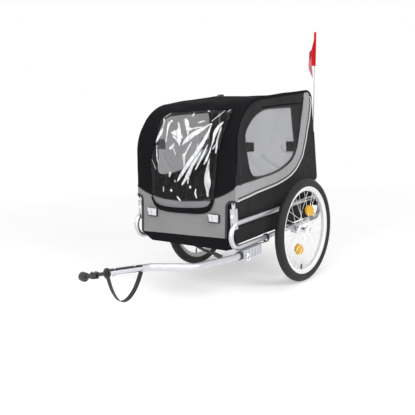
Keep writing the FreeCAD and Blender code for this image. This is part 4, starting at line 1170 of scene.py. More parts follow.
@dataclass
class Cabin:
    """The sewn cabin: front with its grey apron, roof, rear, two sides with net windows, and the tub below."""

    shape: CabinShape
    outfit: Outfit
    panel_half: float = 0.2415
    hem_half: float = 0.250
    pocket_bend: float = 0.024
    hem_top: float = 0.3065
    hem_tilt: float = 0.030
    hem_cut: float = 0.030
    hem_cut_from: float = -0.175
    apron_tilt: float = 0.018
    pocket_top: float = 0.470
    front_end_y: float = -0.258
    rear_start_y: float = 0.066
    doorway: tuple[tuple[float, float], ...] = (
        (-0.140, 0.462), (0.150, 0.465), (0.168, 0.468), (0.170, 0.523), (0.175, 0.588), (0.182, 0.651),
        (0.194, 0.708), (0.210, 0.765), (0.218, 0.808), (0.214, 0.837), (0.078, 0.838), (-0.123, 0.833),
        (-0.151, 0.821), (-0.160, 0.745), (-0.158, 0.692), (-0.161, 0.637), (-0.163, 0.568), (-0.164, 0.462))
    hatch: tuple[float, float, float] = (0.164, 0.496, 0.764)
    tub_side_x: float = 0.2590
    tub_front_y: float = -0.484
    tub_rear_y: float = 0.205
    rear_foot_z: float = 0.462
    lining_gap: float = 0.004
    corner_foot: float = 0.264
    corner_overlap: float = 0.012
    tub_waves: Waves = ((0.0010, 3.3, 2.0, 0.2), (0.0007, -6.1, 4.0, 1.1))
    net_sink: float = 0.0015
    net_folds: tuple[tuple[tuple[float, float], ...], ...] = (
        ((-0.365, 0.644), (-0.341, 0.618), (-0.312, 0.592), (-0.276, 0.563)),
        ((-0.274, 0.633), (-0.237, 0.614), (-0.196, 0.591), (-0.143, 0.563)),
        ((-0.120, 0.660), (-0.060, 0.630), (-0.010, 0.622)))
    net_fold_depth: float = 0.0070
    net_fold_width: float = 0.0085
    tie_across: tuple[float, float] = (-0.246, -0.222)
    tie_along: tuple[float, float, float] = (0.096, 0.128, 0.168)
    tie_rise: float = 0.0095
    window: tuple[tuple[float, float], ...] = (
        (-0.022, 0.840), (-0.030, 0.841), (-0.217, 0.846), (-0.262, 0.842), (-0.304, 0.832), (-0.339, 0.817),
        (-0.363, 0.802), (-0.388, 0.779), (-0.406, 0.755), (-0.413, 0.731), (-0.396, 0.636), (-0.386, 0.585),
        (-0.354, 0.551), (-0.197, 0.552), (-0.100, 0.569), (-0.030, 0.595), (0.003, 0.630), (0.001, 0.690),
        (-0.019, 0.832))
    band_high: tuple[tuple[float, float], ...] = (
        (-0.5045, 0.531), (-0.466, 0.540), (-0.349, 0.545), (-0.197, 0.550), (-0.133, 0.557), (-0.068, 0.572),
        (-0.022, 0.592), (0.009, 0.619), (0.046, 0.690), (0.073, 0.775), (0.095, 0.866), (0.108, 0.899))
    band_low: tuple[tuple[float, float], ...] = (
        (-0.5105, 0.466), (-0.403, 0.476), (-0.307, 0.486), (-0.136, 0.497), (-0.063, 0.511), (-0.010, 0.527),
        (0.034, 0.556), (0.075, 0.593), (0.108, 0.653), (0.138, 0.728), (0.164, 0.816), (0.170, 0.866),
        (0.152, 0.893))
    tabs: tuple[tuple[tuple[float, float], ...], ...] = (
        ((-0.404, 0.714), (-0.342, 0.706), (-0.345, 0.668), (-0.402, 0.673)),
        ((-0.072, 0.684), (0.004, 0.677), (0.013, 0.630), (-0.069, 0.639)))

    def apron_top(self, t: Array | float) -> Array:
        """Height of the grey apron's upper edge: low at the doorway, rising to the corners.

        Args:
            t: Places across.

        Returns:
            Heights.
        """
        places = (0.0, 0.110, 0.175, 0.193, 0.225, 0.260, 0.30)
        heights = (0.457, 0.463, 0.476, 0.481, 0.492, 0.509, 0.532)
        return np.interp(np.abs(t), places, heights) + self.apron_tilt * t

    def apron_s(self, t: Array | float) -> Array:
        """Running length of the apron's upper edge at each place across."""
        return self.shape.front_s(self.apron_top(t))

    def hem_foot_s(self, t: Array) -> Array:
        """Running length of the hem's lower edge, cut away towards the right corner."""
        rise = self.hem_cut * (1.0 - smooth_step(t, -self.panel_half, self.hem_cut_from))
        return self.shape.front_s(self.shape.foot_z + rise)

    def on_front(self, line: Array, side: Side) -> Array:
        """Places (t, s) on one half of the front, from distances out from the middle and heights."""
        return np.stack([side.value * line[..., 0], self.shape.front_s(line[..., 1])], axis=-1)

    def strip(self, name: str, low: Callable[[Array], Array], high: Callable[[Array], Array],
              across: tuple[float, float], rows: int, columns: int, lift: float = 0.0) -> bpy.types.Object:
        """A piece of the wrap between two lines that cross it.

        Args:
            name: Name of the object.
            low: Running length of the first line at each place across.
            high: Running length of the second line at each place across.
            across: First and last place across.
            rows: Rows of the grid.
            columns: Columns of the grid.
            lift: Outward shift.

        Returns:
            The new object.
        """
        t = np.linspace(across[0], across[1], columns)
        share = np.linspace(0.0, 1.0, rows)[:, None]
        s = low(t)[None] * (1.0 - share) + high(t)[None] * share
        t = np.broadcast_to(t, s.shape)
        return surface_object(name, self.shape.wrap(s, t, lift), np.stack([t, s], axis=-1), flip=True)

    def holed(self, name: str, inner: Array, outer: Array, centre: tuple[float, float], rows: int,
              count: int) -> bpy.types.Object:
        """A piece of the wrap that surrounds an opening.

        Args:
            name: Name of the object.
            inner: Loop of the opening in (t, s).
            outer: Loop of the piece's edge in (t, s).
            centre: Point inside the opening.
            rows: Rows from the opening to the edge.
            count: Points round the loops.

        Returns:
            The new object.
        """
        places = between(ray_matched(inner, centre, count), ray_matched(outer, centre, count), rows)
        points = self.shape.wrap(places[..., 1], places[..., 0])
        return surface_object(name, points, places, wrap_v=True)

    def level(self, z: float, tilt: float = 0.0, rear: bool = False) -> Callable[[Array], Array]:
        """A line across the front or rear at one height, or tilted to one side."""
        find = self.shape.rear_s if rear else self.shape.front_s
        return lambda t: find(z + tilt * np.asarray(t, float))

    def front_loop(self, corners: Sequence[tuple[float, float]], count: int = 400) -> Array:
        """Rounded loop on the front in (t, s), from corners given as (t, z)."""
        line = smoothed(np.asarray(corners), count + 1, 3, closed=True)[:-1]
        return np.stack([line[:, 0], self.shape.front_s(line[:, 1])], axis=1)

    def hatch_loop(self, margin: float = 0.0) -> Array:
        """Rear hatch's edge, or a line outside it.

        Args:
            margin: How far outside the edge.

        Returns:
            Loop in (t, s).
        """
        half, foot, top = self.hatch
        s0, s1 = float(self.shape.rear_s(top)) - margin, float(self.shape.rear_s(foot)) + margin
        wide = half + margin
        return resampled(rounded_line([(-wide, s0), (wide, s0), (wide, s1), (-wide, s1)], [0.03 + margin] * 4,
                                      closed=True), 401)[:-1]

    def wrap_tape(self, name: str, places: Array, size: tuple[float, float], finish: str = "binding",
                  body: str = "chassis", lift: float = 0.001, closed: bool = False,
                  folds: bool = True) -> bpy.types.Object:
        """A sewn tape along a line (t, s) of the wrap.

        Args:
            name: Name of the object.
            places: Line the tape follows.
            size: Width and thickness.
            finish: Name of the finish.
            body: Body that carries it.
            lift: Outward shift of its middle.
            closed: Whether the line closes on itself.
            folds: Whether it gets a mesh of its own.

        Returns:
            The new object.
        """
        path = self.shape.wrap(places[:, 1], places[:, 0], lift)
        facing = self.shape.outward(places[:, 1], places[:, 0])
        tape = swept_surface(name, path, round_profile(*size, 10, 3.0), facing, closed=closed)
        return self.outfit.dress(tape, finish, body, folds=folds)

    def side_tape(self, name: str, places: Array, side: Side, size: tuple[float, float], finish: str = "binding",
                  lift: float = 0.001, closed: bool = False) -> bpy.types.Object:
        """A sewn tape along a line of a side.

        Args:
            name: Name of the object.
            places: Line (y, z) the tape follows.
            side: Which side.
            size: Width and thickness.
            finish: Name of the finish.
            lift: Outward shift of its middle.
            closed: Whether the line closes on itself.

        Returns:
            The new object.
        """
        path = self.shape.side(places[:, 0], places[:, 1], side, lift)
        facing = (float(side.value), 0.0, 0.0)
        tape = swept_surface(name, path, round_profile(*size, 10, 3.0), facing, closed=closed)
        return self.outfit.dress(tape, finish, "chassis", folds=True)

    def build_front(self) -> None:
        """Hem, grey apron with its lining and bindings, and the black arch round the doorway."""
        shape, dress, edge = self.shape, self.outfit.dress, self.shape.edge
        inner = (-self.panel_half, self.panel_half)
        hem_line = self.level(self.hem_top, self.hem_tilt)
        top = self.apron_s
        hem = self.strip("front_hem", self.hem_foot_s, hem_line, (-self.panel_half, self.hem_half), 10, 90)
        dress(hem, "black cloth", "chassis")
        apron = self.strip("front_apron", hem_line, self.level(shape.tub_top), inner, 24, 90)
        dress(apron, "grey apron", "chassis", ["front_tub_panel"])
        upper = self.strip("apron_upper", self.level(shape.tub_top), top, inner, 14, 120)
        dress(upper, "grey apron", "chassis", folds=True)
        lining = self.strip("apron_lining", self.level(shape.tub_top), top, inner, 14, 120, -self.lining_gap)
        dress(lining, "black cloth", "chassis", folds=True)
        pieces = [hem, apron, upper, lining]
        for side in Side:
            reach = sorted((side.value * self.panel_half, side.value * edge))
            cheek = self.strip("apron_cheek_" + side.word, self.level(self.pocket_top), top, reach, 10, 14)
            pieces.append(dress(cheek, "grey apron", "chassis", folds=True))
            across = np.full(60, side.value * self.panel_half)
            upward = np.linspace(float(hem_line(across[0])), float(shape.front_s(shape.tub_top)), 60)
            seam = np.stack([across, upward], axis=1)
            self.wrap_tape("pocket_edge_" + side.word, seam, (0.012, 0.004), folds=False)
            turn = np.linspace(np.pi, np.pi / 2.0, 24)
            bend = np.stack([self.panel_half + self.pocket_bend * (1.0 + np.cos(turn)),
                             self.pocket_top - self.pocket_bend * (1.0 - np.sin(turn))], axis=1)
            ends = [(self.panel_half, shape.tub_top)], [(edge, self.pocket_top)]
            rim = resampled(np.concatenate([ends[0], bend, ends[1]]), 80)
            self.wrap_tape("pocket_rim_" + side.word, self.on_front(rim, side), (0.012, 0.004))
            corner = np.broadcast_to((self.panel_half, self.pocket_top), bend.shape)
            fill = self.on_front(between(corner, bend, 6), side)
            gusset = surface_object("pocket_gusset_" + side.word, shape.wrap(fill[..., 1], fill[..., 0]), fill,
                                    flip=side is Side.RIGHT)
            pieces.append(dress(gusset, "grey apron", "chassis", folds=True))
            pieces += self.front_corner(side)
        across = np.linspace(-edge, edge, 300)
        end = float(shape.roof_s(self.front_end_y))
        outer = np.concatenate([np.stack([across, top(across)], axis=1),
                                densely([(edge, float(top(edge))), (edge, end), (-edge, end),
                                         (-edge, float(top(-edge)))], 900)])
        opening = self.front_loop(self.doorway)
        arch = self.holed("front_arch", opening, outer, (0.0, float(shape.front_s(0.66))), 22, 420)
        pieces.append(dress(arch, "black cloth", "chassis", ["front_panel"], folds=True))
        sides = opening[opening[:, 1] > float(shape.front_s(0.490))]
        self.wrap_tape("doorway_binding", sides, (0.006, 0.003), "black cloth")
        apron_seam = np.stack([across[4:-4], top(across[4:-4])], axis=1)
        self.wrap_tape("apron_seam", apron_seam, (0.004, 0.003))
        for piece in pieces:
            self.outfit.declare(piece, ["left_side_frame", "right_side_frame"])

    def front_corner(self, side: Side) -> list[bpy.types.Object]:
        """Black cloth behind the bent tube at one front corner, from the apron's edge back to the tub's side.

        Args:
            side: Which side.

        Returns:
            The lower and the upper piece.
        """
        made = []
        share = np.linspace(0.0, 1.0, 14)
        foot = self.corner_foot if side is Side.LEFT else self.hem_top - self.corner_overlap
        seam = self.shape.tub_top
        for name, low, high in (("lower", foot, seam), ("upper", seam, self.pocket_top)):
            z = np.linspace(low, high, 16)[:, None]
            front = self.shape.wrap(self.shape.front_s(z), np.full(z.shape, side.value * self.panel_half))[..., 1]
            y = front + (self.tub_front_y + self.shape.axle_y - front) * (1.0 - np.cos(share * np.pi / 2.0))
            x = self.panel_half + (self.tub_side_x + 0.001 - self.panel_half) * np.sin(share * np.pi / 2.0)
            points = np.stack(np.broadcast_arrays(side.value * x, y, z), axis=-1)
            corner = surface_object("corner_%s_%s" % (name, side.word), points, flip=side is Side.RIGHT)
            made.append(self.outfit.dress(corner, "black cloth", "chassis", folds=True, down_to=foot))
        return made

    def build_roof_and_rear(self) -> None:
        """Roof cloth, the rear cloth round its hatch and the rear of the tub."""
        shape, dress, edge = self.shape, self.outfit.dress, self.shape.edge
        start, end = shape.roof_s(self.front_end_y), shape.roof_s(self.rear_start_y)
        roof = self.strip("roof_cloth", lambda t: np.full(np.shape(t), float(start)),
                          lambda t: np.full(np.shape(t), float(end)), (-edge, edge), 60, 120)
        dress(roof, "black cloth", "chassis", ["roof_panel"], folds=True)
        y = np.linspace(self.tie_along[0], self.tie_along[2], 40)[:, None]
        rise = np.interp(y, self.tie_along, (0.001, self.tie_rise, 0.001))
        across = np.linspace(*self.tie_across, 6)
        tie = surface_object("roof_tie", shape.wrap(shape.roof_s(y), across, rise), flip=True)
        dress(thickened(tie, 0.0016), "strap", "chassis", folds=True)
        low = float(shape.rear_s(self.pocket_top))
        high = float(end)
        outer = densely([(-edge, high), (edge, high), (edge, low), (-edge, low), (-edge, high)], 1200)
        rear = self.holed("rear_cloth", self.hatch_loop(), outer, (0.0, float(shape.rear_s(0.64))), 40, 420)
        dress(rear, "black cloth", "chassis", ["rear_panel"], folds=True)
        inner = (-self.panel_half, self.panel_half)
        levels = [self.level(z, rear=True) for z in (self.pocket_top, shape.tub_top, shape.foot_z)]
        skirt = self.strip("rear_skirt", levels[0], levels[1], inner, 6, 70)
        dress(skirt, "black cloth", "chassis", folds=True)
        tub = self.strip("rear_tub_cloth", levels[1], levels[2], inner, 18, 70)
        dress(tub, "black cloth", "chassis", ["rear_tub_panel"])
        for piece in (roof, rear, skirt, tub):
            self.outfit.declare(piece, ["left_side_frame", "right_side_frame"])

    def side_piece(self, name: str, places: Array, side: Side, lift: float | Array = 0.0,
                   wrap: bool = False) -> bpy.types.Object:
        """A piece of a side's cloth from a grid of places (y, z)."""
        points = self.shape.side(places[..., 0], places[..., 1], side, lift)
        return surface_object(name, points, places, wrap_v=wrap, flip=side is Side.RIGHT)

    def build_side(self, side: Side) -> None:
        """One side: black hood round the window, the net, the grey band with its bindings, the skirt and the tub.

        Args:
            side: Which side.
        """
        shape, dress, word = self.shape, self.outfit.dress, side.word
        high = shape.settled(smoothed(np.array(self.band_high), 240), side)
        low = shape.settled(smoothed(np.array(self.band_low), 240), side)
        front_s = float(shape.front_s(high[0, 1]))
        crease = shape.edge_line(np.linspace(front_s, float(shape.roof_s(high[-1, 0])), 500), side)
        high[0], high[-1] = crease[0], crease[-1]
        outer = np.concatenate([crease, resampled(high[::-1], 700)])
        centre = (-0.19, 0.69)
        hood_outer = ray_matched(outer, centre, 420)
        window = ray_matched(shape.settled(smoothed(np.array(self.window), 501, 3, True)[:-1], side), centre, 420)
        hood = self.side_piece("hood_" + word, between(window, hood_outer, 16), side, wrap=True)
        dress(hood, "tub cloth", "chassis", [word + "_side_panel"], folds=True)
        netting = between(np.broadcast_to(centre, window.shape), window, 40)
        sunk = np.full(netting.shape[:-1], -self.net_sink)
        fade = np.interp(np.linspace(0.0, 1.0, 40), (0.0, 0.88, 1.0), (1.0, 1.0, 0.15))[:, None]
        for fold in self.net_folds:
            away = line_distance(netting, shape.settled(np.array(fold), side)) / self.net_fold_width
            sunk = sunk - self.net_fold_depth * np.exp(-away ** 2) * fade
        net = self.side_piece("net_" + word, netting, side, sunk, wrap=True)
        dress(net, "window net", "chassis", ["side_windows"] if side is Side.LEFT else (), folds=True)
        rear_low, rear_high = float(shape.rear_s(self.rear_foot_z)), float(shape.roof_s(low[-1, 0]))
        rear_edge = shape.edge_line(np.linspace(rear_low, rear_high, 200), side)
        low[-1] = rear_edge[-1]
        band = self.side_piece("band_" + word, between(low, high, 18), side)
        dress(band, "grey band", "chassis", folds=True)
        lining = self.side_piece("band_lining_" + word, between(low, high, 18), side, -self.lining_gap)
        dress(lining, "black cloth", "chassis", folds=True)
        cap_edge = shape.edge_line(np.linspace(float(shape.roof_s(high[-1, 0])), rear_high, 40), side)
        lower = np.concatenate([densely([(-0.486, 0.416), (-0.470, 0.4155), (self.tub_rear_y, 0.4155),
                                         (self.tub_rear_y, self.rear_foot_z), tuple(rear_edge[0])], 400), rear_edge])
        skirt = self.side_piece("skirt_" + word, between(resampled(lower, 240), low, 18), side)
        dress(skirt, "tub cloth", "chassis", folds=True)
        rail_y = np.linspace(self.tub_front_y, self.tub_rear_y, 120)
        rail_z = np.linspace(shape.rail_z, 0.4155, 6)[:, None]
        sleeve = self.side_piece("sleeve_" + word, np.stack(np.broadcast_arrays(rail_y, rail_z), axis=-1), side)
        dress(sleeve, "tub cloth", "chassis")
        tub_z = np.linspace(0.2795, shape.rail_z, 20)[:, None]
        y, z = np.broadcast_arrays(rail_y, tub_z)
        x = self.tub_side_x + ripples(y, z, self.tub_waves)
        points = np.stack([side.value * x, y + shape.axle_y, z], axis=-1)
        tub = surface_object("tub_" + word, points, np.stack([y, z], axis=-1), flip=side is Side.LEFT)
        dress(tub, "tub cloth", "chassis", [word + "_tub_side"])
        for piece in (hood, net, band, lining, skirt, sleeve, tub):
            self.outfit.declare(piece, [word + "_side_frame", word + "_side_loop"])
        self.trim_side(side, window, high, low, np.concatenate([crease, cap_edge]))

    def trim_side(self, side: Side, window: Array, high: Array, low: Array, crease: Array) -> None:
        """Bindings, piping, seams and tabs of one side.

        Args:
            side: Which side.
            window: Loop of the window.
            high: Upper edge of the band.
            low: Lower edge of the band.
            crease: Edge where the side meets the wrap.
        """
        word, outward = side.word, (float(side.value), 0.0, 0.0)
        self.side_tape("window_binding_" + word, window, side, (0.006, 0.003), closed=True)
        self.side_tape("band_binding_" + word, high[12:-6], side, (0.006, 0.003))
        self.side_tape("band_piping_" + word, low[8:-4], side, (0.0055, 0.004), "piping", 0.002)
        inside = low + (high - low) * np.clip(0.0100 / np.linalg.norm(high - low, axis=1), 0.0, 0.3)[:, None]
        self.side_tape("band_seam_" + word, inside[10:-6], side, (0.0055, 0.002), lift=0.0006)
        for number, corners in enumerate(self.tabs):
            quad = self.shape.settled(np.array(corners), side)
            places = between(np.linspace(quad[0], quad[1], 12), np.linspace(quad[3], quad[2], 12), 8)
            tab = thickened(self.side_piece("window_tab_%s_%d" % (word, number), places, side, 0.0022), 0.002)
            self.outfit.dress(tab, "tub cloth", "chassis", folds=True)
        hem = np.stack([np.linspace(-0.270, 0.080, 120), np.full(120, 0.852)], axis=1)
        hem[:, 1] += 0.003 * np.sin(np.linspace(0.0, np.pi, 120))
        self.side_tape("roof_hem_" + word, self.shape.settled(hem, side), side, (0.005, 0.0035), "black cloth")
        sewn = self.shape.settled(hem + np.array([0.0, 0.006]), side)
        path = self.shape.side(sewn[:, 0], sewn[:, 1], side, 0.0008)
        row = stitches("roof_stitches_" + word, path, np.array(outward))
        self.outfit.dress(row, "thread", "chassis", folds=True)
        self.side_tape("edge_piping_" + word, crease[30::4], side, (0.005, 0.005), "black cloth", 0.0005)

    def build(self) -> None:
        """Sew the whole cabin."""
        self.build_front()
        self.build_roof_and_rear()
        for side in Side:
            self.build_side(side)


@dataclass(frozen=True)
class Fold:
    """A fold in the clear sheet: its line as (t, z, half width), and how white its flank is painted, as highlight
    and crease.
    """

    line: tuple[tuple[float, float, float], ...]
    highlight_share: float


@dataclass
class FrontCover:
    """Clear sheet over the front doorway: slack and folded from being rolled up, with a bound edge."""

    cabin: Cabin
    lift: float = 0.005
    edge: tuple[tuple[float, float], ...] = (
        (-0.110, 0.406), (0.004, 0.405), (0.120, 0.410), (0.160, 0.428), (0.179, 0.476), (0.182, 0.523),
        (0.187, 0.587), (0.194, 0.650), (0.207, 0.706), (0.223, 0.763), (0.231, 0.811), (0.227, 0.844),
        (0.209, 0.844), (0.085, 0.844), (-0.128, 0.844), (-0.161, 0.840), (-0.167, 0.815), (-0.165, 0.747),
        (-0.170, 0.693), (-0.181, 0.638), (-0.184, 0.569), (-0.183, 0.507), (-0.177, 0.459), (-0.158, 0.420))
    binding_inner: tuple[tuple[float, float], ...] = (
        (-0.170, 0.466), (-0.162, 0.446), (-0.122, 0.427), (0.004, 0.427),
        (0.132, 0.437), (0.160, 0.458), (0.167, 0.478))
    binding_outer: tuple[tuple[float, float], ...] = (
        (-0.182, 0.466), (-0.158, 0.420), (-0.114, 0.405), (0.004, 0.404),
        (0.118, 0.409), (0.161, 0.428), (0.181, 0.478))
    steepness: float = 0.35
    slack: Waves = ((0.0012, 4.0, 5.0, 0.2), (0.0008, -9.0, 7.0, 1.4), (0.0004, 17.0, 15.0, 0.6))
    ragged: Waves = ((0.00040, 31.0, 47.0, 0.3), (0.00034, 88.0, -61.0, 1.2), (0.00026, 143.0, 170.0, 2.1))
    # Each fold's white flank is a painted highlight of the lamps on the wrinkled sheet, partly a milk-white crease.
    folds: tuple[Fold, ...] = (
        Fold(((0.142, 0.790, 0.0024), (0.137, 0.757, 0.0069), (0.116, 0.717, 0.0098), (0.087, 0.678, 0.0090),
             (0.052, 0.641, 0.0081), (0.021, 0.607, 0.0098), (-0.007, 0.572, 0.0090),
             (-0.024, 0.546, 0.0028)), 1.00),
        Fold(((0.138, 0.791, 0.0020), (0.110, 0.776, 0.0057), (0.077, 0.758, 0.0106), (0.046, 0.742, 0.0114),
             (0.021, 0.723, 0.0098), (0.004, 0.707, 0.0024)), 1.00),
        Fold(((-0.055, 0.801, 0.0016), (-0.036, 0.782, 0.0049), (-0.029, 0.756, 0.0138), (-0.016, 0.729, 0.0090),
             (-0.013, 0.703, 0.0024)), 0.95),
        Fold(((-0.071, 0.757, 0.0037), (-0.051, 0.756, 0.0114), (-0.030, 0.753, 0.0138),
             (-0.005, 0.735, 0.0041)), 0.95),
        Fold(((-0.057, 0.741, 0.0033), (-0.034, 0.729, 0.0061), (-0.015, 0.711, 0.0049)), 0.90),
        Fold(((-0.017, 0.811, 0.0049), (0.003, 0.794, 0.0106), (0.020, 0.770, 0.0094),
             (0.026, 0.745, 0.0028)), 1.00),
        Fold(((0.022, 0.769, 0.0065), (0.045, 0.771, 0.0045), (0.071, 0.775, 0.0028),
             (0.098, 0.779, 0.0012)), 0.85),
        Fold(((-0.127, 0.846, 0.0020), (-0.137, 0.833, 0.0024), (-0.150, 0.822, 0.0020)), 0.90),
        Fold(((-0.151, 0.818, 0.0028), (-0.134, 0.801, 0.0045), (-0.135, 0.782, 0.0028)), 0.90),
        Fold(((-0.095, 0.806, 0.0061), (-0.104, 0.797, 0.0077), (-0.102, 0.772, 0.0045), (-0.099, 0.745, 0.0045),
             (-0.099, 0.721, 0.0037)), 0.95),
        Fold(((-0.133, 0.777, 0.0024), (-0.138, 0.757, 0.0102), (-0.149, 0.739, 0.0069),
             (-0.157, 0.715, 0.0020)), 0.90),
        Fold(((-0.047, 0.709, 0.0024), (-0.061, 0.695, 0.0069), (-0.073, 0.689, 0.0053)), 0.90),
        Fold(((-0.052, 0.689, 0.0028), (-0.037, 0.661, 0.0020)), 0.80),
        Fold(((0.050, 0.717, 0.0020), (0.036, 0.693, 0.0041), (0.019, 0.666, 0.0045)), 0.80),
        Fold(((0.011, 0.660, 0.0081), (0.010, 0.637, 0.0061), (0.009, 0.611, 0.0020)), 0.90),
        Fold(((0.086, 0.708, 0.0024), (0.085, 0.690, 0.0041)), 0.75),
        Fold(((0.017, 0.834, 0.0024), (0.018, 0.824, 0.0053)), 0.90),
        Fold(((0.066, 0.795, 0.0024), (0.081, 0.798, 0.0045), (0.097, 0.802, 0.0024)), 0.90),
        Fold(((0.090, 0.842, 0.0033), (0.098, 0.839, 0.0033)), 0.90),
        Fold(((0.201, 0.794, 0.0028), (0.186, 0.776, 0.0085), (0.174, 0.754, 0.0094), (0.171, 0.731, 0.0053),
             (0.157, 0.693, 0.0020)), 1.00),
        Fold(((0.201, 0.773, 0.0020), (0.194, 0.745, 0.0041), (0.189, 0.717, 0.0045), (0.186, 0.694, 0.0053),
             (0.183, 0.673, 0.0024)), 0.90),
        Fold(((0.184, 0.711, 0.0024), (0.168, 0.691, 0.0037)), 0.80),
        Fold(((0.138, 0.704, 0.0020), (0.125, 0.675, 0.0037), (0.103, 0.639, 0.0061),
             (0.079, 0.602, 0.0028)), 1.00),
        Fold(((0.158, 0.696, 0.0024), (0.148, 0.670, 0.0041), (0.135, 0.640, 0.0061),
             (0.123, 0.625, 0.0028)), 1.00),
        Fold(((0.106, 0.677, 0.0028), (0.083, 0.645, 0.0057), (0.057, 0.614, 0.0090), (0.033, 0.573, 0.0106),
             (0.021, 0.556, 0.0073), (0.002, 0.531, 0.0037)), 0.85),
        Fold(((0.037, 0.564, 0.0041), (0.032, 0.538, 0.0024)), 0.80),
        Fold(((0.151, 0.645, 0.0020), (0.144, 0.607, 0.0073), (0.142, 0.568, 0.0146), (0.146, 0.544, 0.0195),
             (0.143, 0.520, 0.0090), (0.143, 0.491, 0.0057)), 0.80),
        Fold(((0.078, 0.514, 0.0020), (0.073, 0.497, 0.0049), (0.081, 0.477, 0.0028)), 0.95),
        Fold(((0.045, 0.523, 0.0045), (0.047, 0.520, 0.0045)), 1.00),
        Fold(((-0.063, 0.503, 0.0049), (-0.061, 0.501, 0.0049)), 1.00),
        Fold(((-0.025, 0.474, 0.0041), (-0.011, 0.459, 0.0033)), 1.00),
        Fold(((-0.109, 0.515, 0.0028), (-0.109, 0.496, 0.0033)), 0.70),
        Fold(((-0.068, 0.579, 0.0065), (-0.073, 0.564, 0.0037)), 0.75),
        Fold(((-0.042, 0.546, 0.0041), (-0.038, 0.543, 0.0041)), 0.60),
        Fold(((0.180, 0.840, 0.0016), (0.162, 0.822, 0.0024), (0.138, 0.801, 0.0020)), 0.75),
        Fold(((0.212, 0.846, 0.0020), (0.204, 0.835, 0.0024)), 0.90),
        Fold(((-0.152, 0.702, 0.0020), (-0.149, 0.672, 0.0028), (-0.144, 0.637, 0.0028),
             (-0.138, 0.622, 0.0016)), 0.95),
        Fold(((-0.181, 0.643, 0.0016), (-0.165, 0.617, 0.0016), (-0.153, 0.594, 0.0016)), 0.60))

    def shaped(self, places: Array) -> tuple[Array, Array]:
        """Height of the sheet, and its fold streaks of painted highlight and milk-white crease.

        A fold is a stroke of changing width: within it the sheet rises as a bell, and its flank is painted white
        up to a ragged edge, a painted highlight of the lamps that partly stands for a milk-white crease.

        Args:
            places: Places (t, s) on the sheet.

        Returns:
            Outward shift, and share of painted highlight and milk-white crease at each place.
        """
        t, s = places[..., 0], places[..., 1]
        height = self.lift + ripples(t, s, self.slack)
        ragged = ripples(t, s, self.ragged)
        milky_and_highlight = np.zeros(t.shape)
        for fold in self.folds:
            line = smoothed(np.array(fold.line), 28, 2)
            line[:, 1] = self.cabin.shape.front_s(line[:, 1])
            inside = np.full(t.shape, -np.inf)
            bell = np.zeros(t.shape)
            for start, end in zip(line[:-1], line[1:]):
                way = end[:2] - start[:2]
                share = np.clip(((places - start[:2]) @ way) / (way @ way), 0.0, 1.0)
                away = np.linalg.norm(places - start[:2] - share[..., None] * way, axis=-1)
                width = start[2] + share * (end[2] - start[2])
                inside = np.maximum(inside, width - away)
                bell = np.maximum(bell, self.steepness * width * np.exp(-(away / (1.2 * width)) ** 2))
            height = height + bell
            # Painted highlight: the fold's flank is whitened in the sheet's colour, for the lamps' reflection and a
            # milk-white crease.
            milky_and_highlight = np.maximum(milky_and_highlight, fold.highlight_share * smooth_step(inside + ragged, -0.0012, 0.0012))
        return height, np.clip(milky_and_highlight, 0.0, 1.0)

    def build(self) -> None:
        """Make the sheet and its bindings."""
        cabin, shape = self.cabin, self.cabin.shape
        centre = (0.01, float(shape.front_s(0.64)))
        loop = cabin.front_loop(self.edge)
        rays = ray_matched(loop, centre, 640)
        places = between(np.broadcast_to(centre, rays.shape), rays, 140)
        height, milky_and_highlight = self.shaped(places)
        points = shape.wrap(places[..., 1], places[..., 0], height)
        sheet = surface_object("clear_cover", points, places, wrap_v=True)
        # The crease attribute carries the folds' painted highlights and milk-white creases into the material.
        crease = sheet.data.attributes.new("crease", "FLOAT", "POINT")
        crease.data.foreach_set("value", milky_and_highlight.reshape(-1).astype(np.float32))
        sheet.visible_shadow = False
        cabin.outfit.dress(sheet, "clear sheet", "front_cover", ["front_window"], folds=True)
        cabin.outfit.declare(sheet, ["front_panel"])
        lines = []
        for corners in (self.binding_outer, self.binding_inner):
            line = smoothed(np.array(corners), 160, 3)
            lines.append(np.stack([line[:, 0], shape.front_s(line[:, 1])], axis=1))
        grid = between(lines[0], lines[1], 6)
        binding = surface_object("cover_binding", shape.wrap(grid[..., 1], grid[..., 0], self.lift + 0.0025), grid)
        cabin.outfit.dress(thickened(binding, 0.002), "black cloth", "front_cover", ["front_cover"], folds=True)
        cabin.wrap_tape("cover_edge", loop, (0.004, 0.003), "black cloth", "front_cover", self.lift, closed=True)


@dataclass
class RearDoor:
    """Black cloth door over the rear hatch, bound round its edge."""

    cabin: Cabin
    margin: float = 0.014
    lift: float = 0.0045
    slack: Waves = ((0.0012, 3.0, 4.5, 0.8), (0.0007, 8.0, -6.0, 0.1))

    def build(self) -> None:
        """Make the door and its binding."""
        cabin, shape = self.cabin, self.cabin.shape
        centre = (0.0, float(shape.rear_s(0.64)))
        rays = ray_matched(cabin.hatch_loop(self.margin), centre, 360)
        places = between(np.broadcast_to(centre, rays.shape), rays, 40)
        t, s = places[..., 0], places[..., 1]
        points = shape.wrap(s, t, self.lift + ripples(t, s, self.slack))
        door = surface_object("rear_door_cloth", points, places, wrap_v=True)
        cabin.outfit.dress(door, "black cloth", "rear_door", ["rear_door"], folds=True)
        cabin.outfit.declare(door, ["rear_panel"])
        cabin.wrap_tape("rear_door_binding", cabin.hatch_loop(self.margin), (0.009, 0.0035), body="rear_door",
                        lift=self.lift, closed=True)


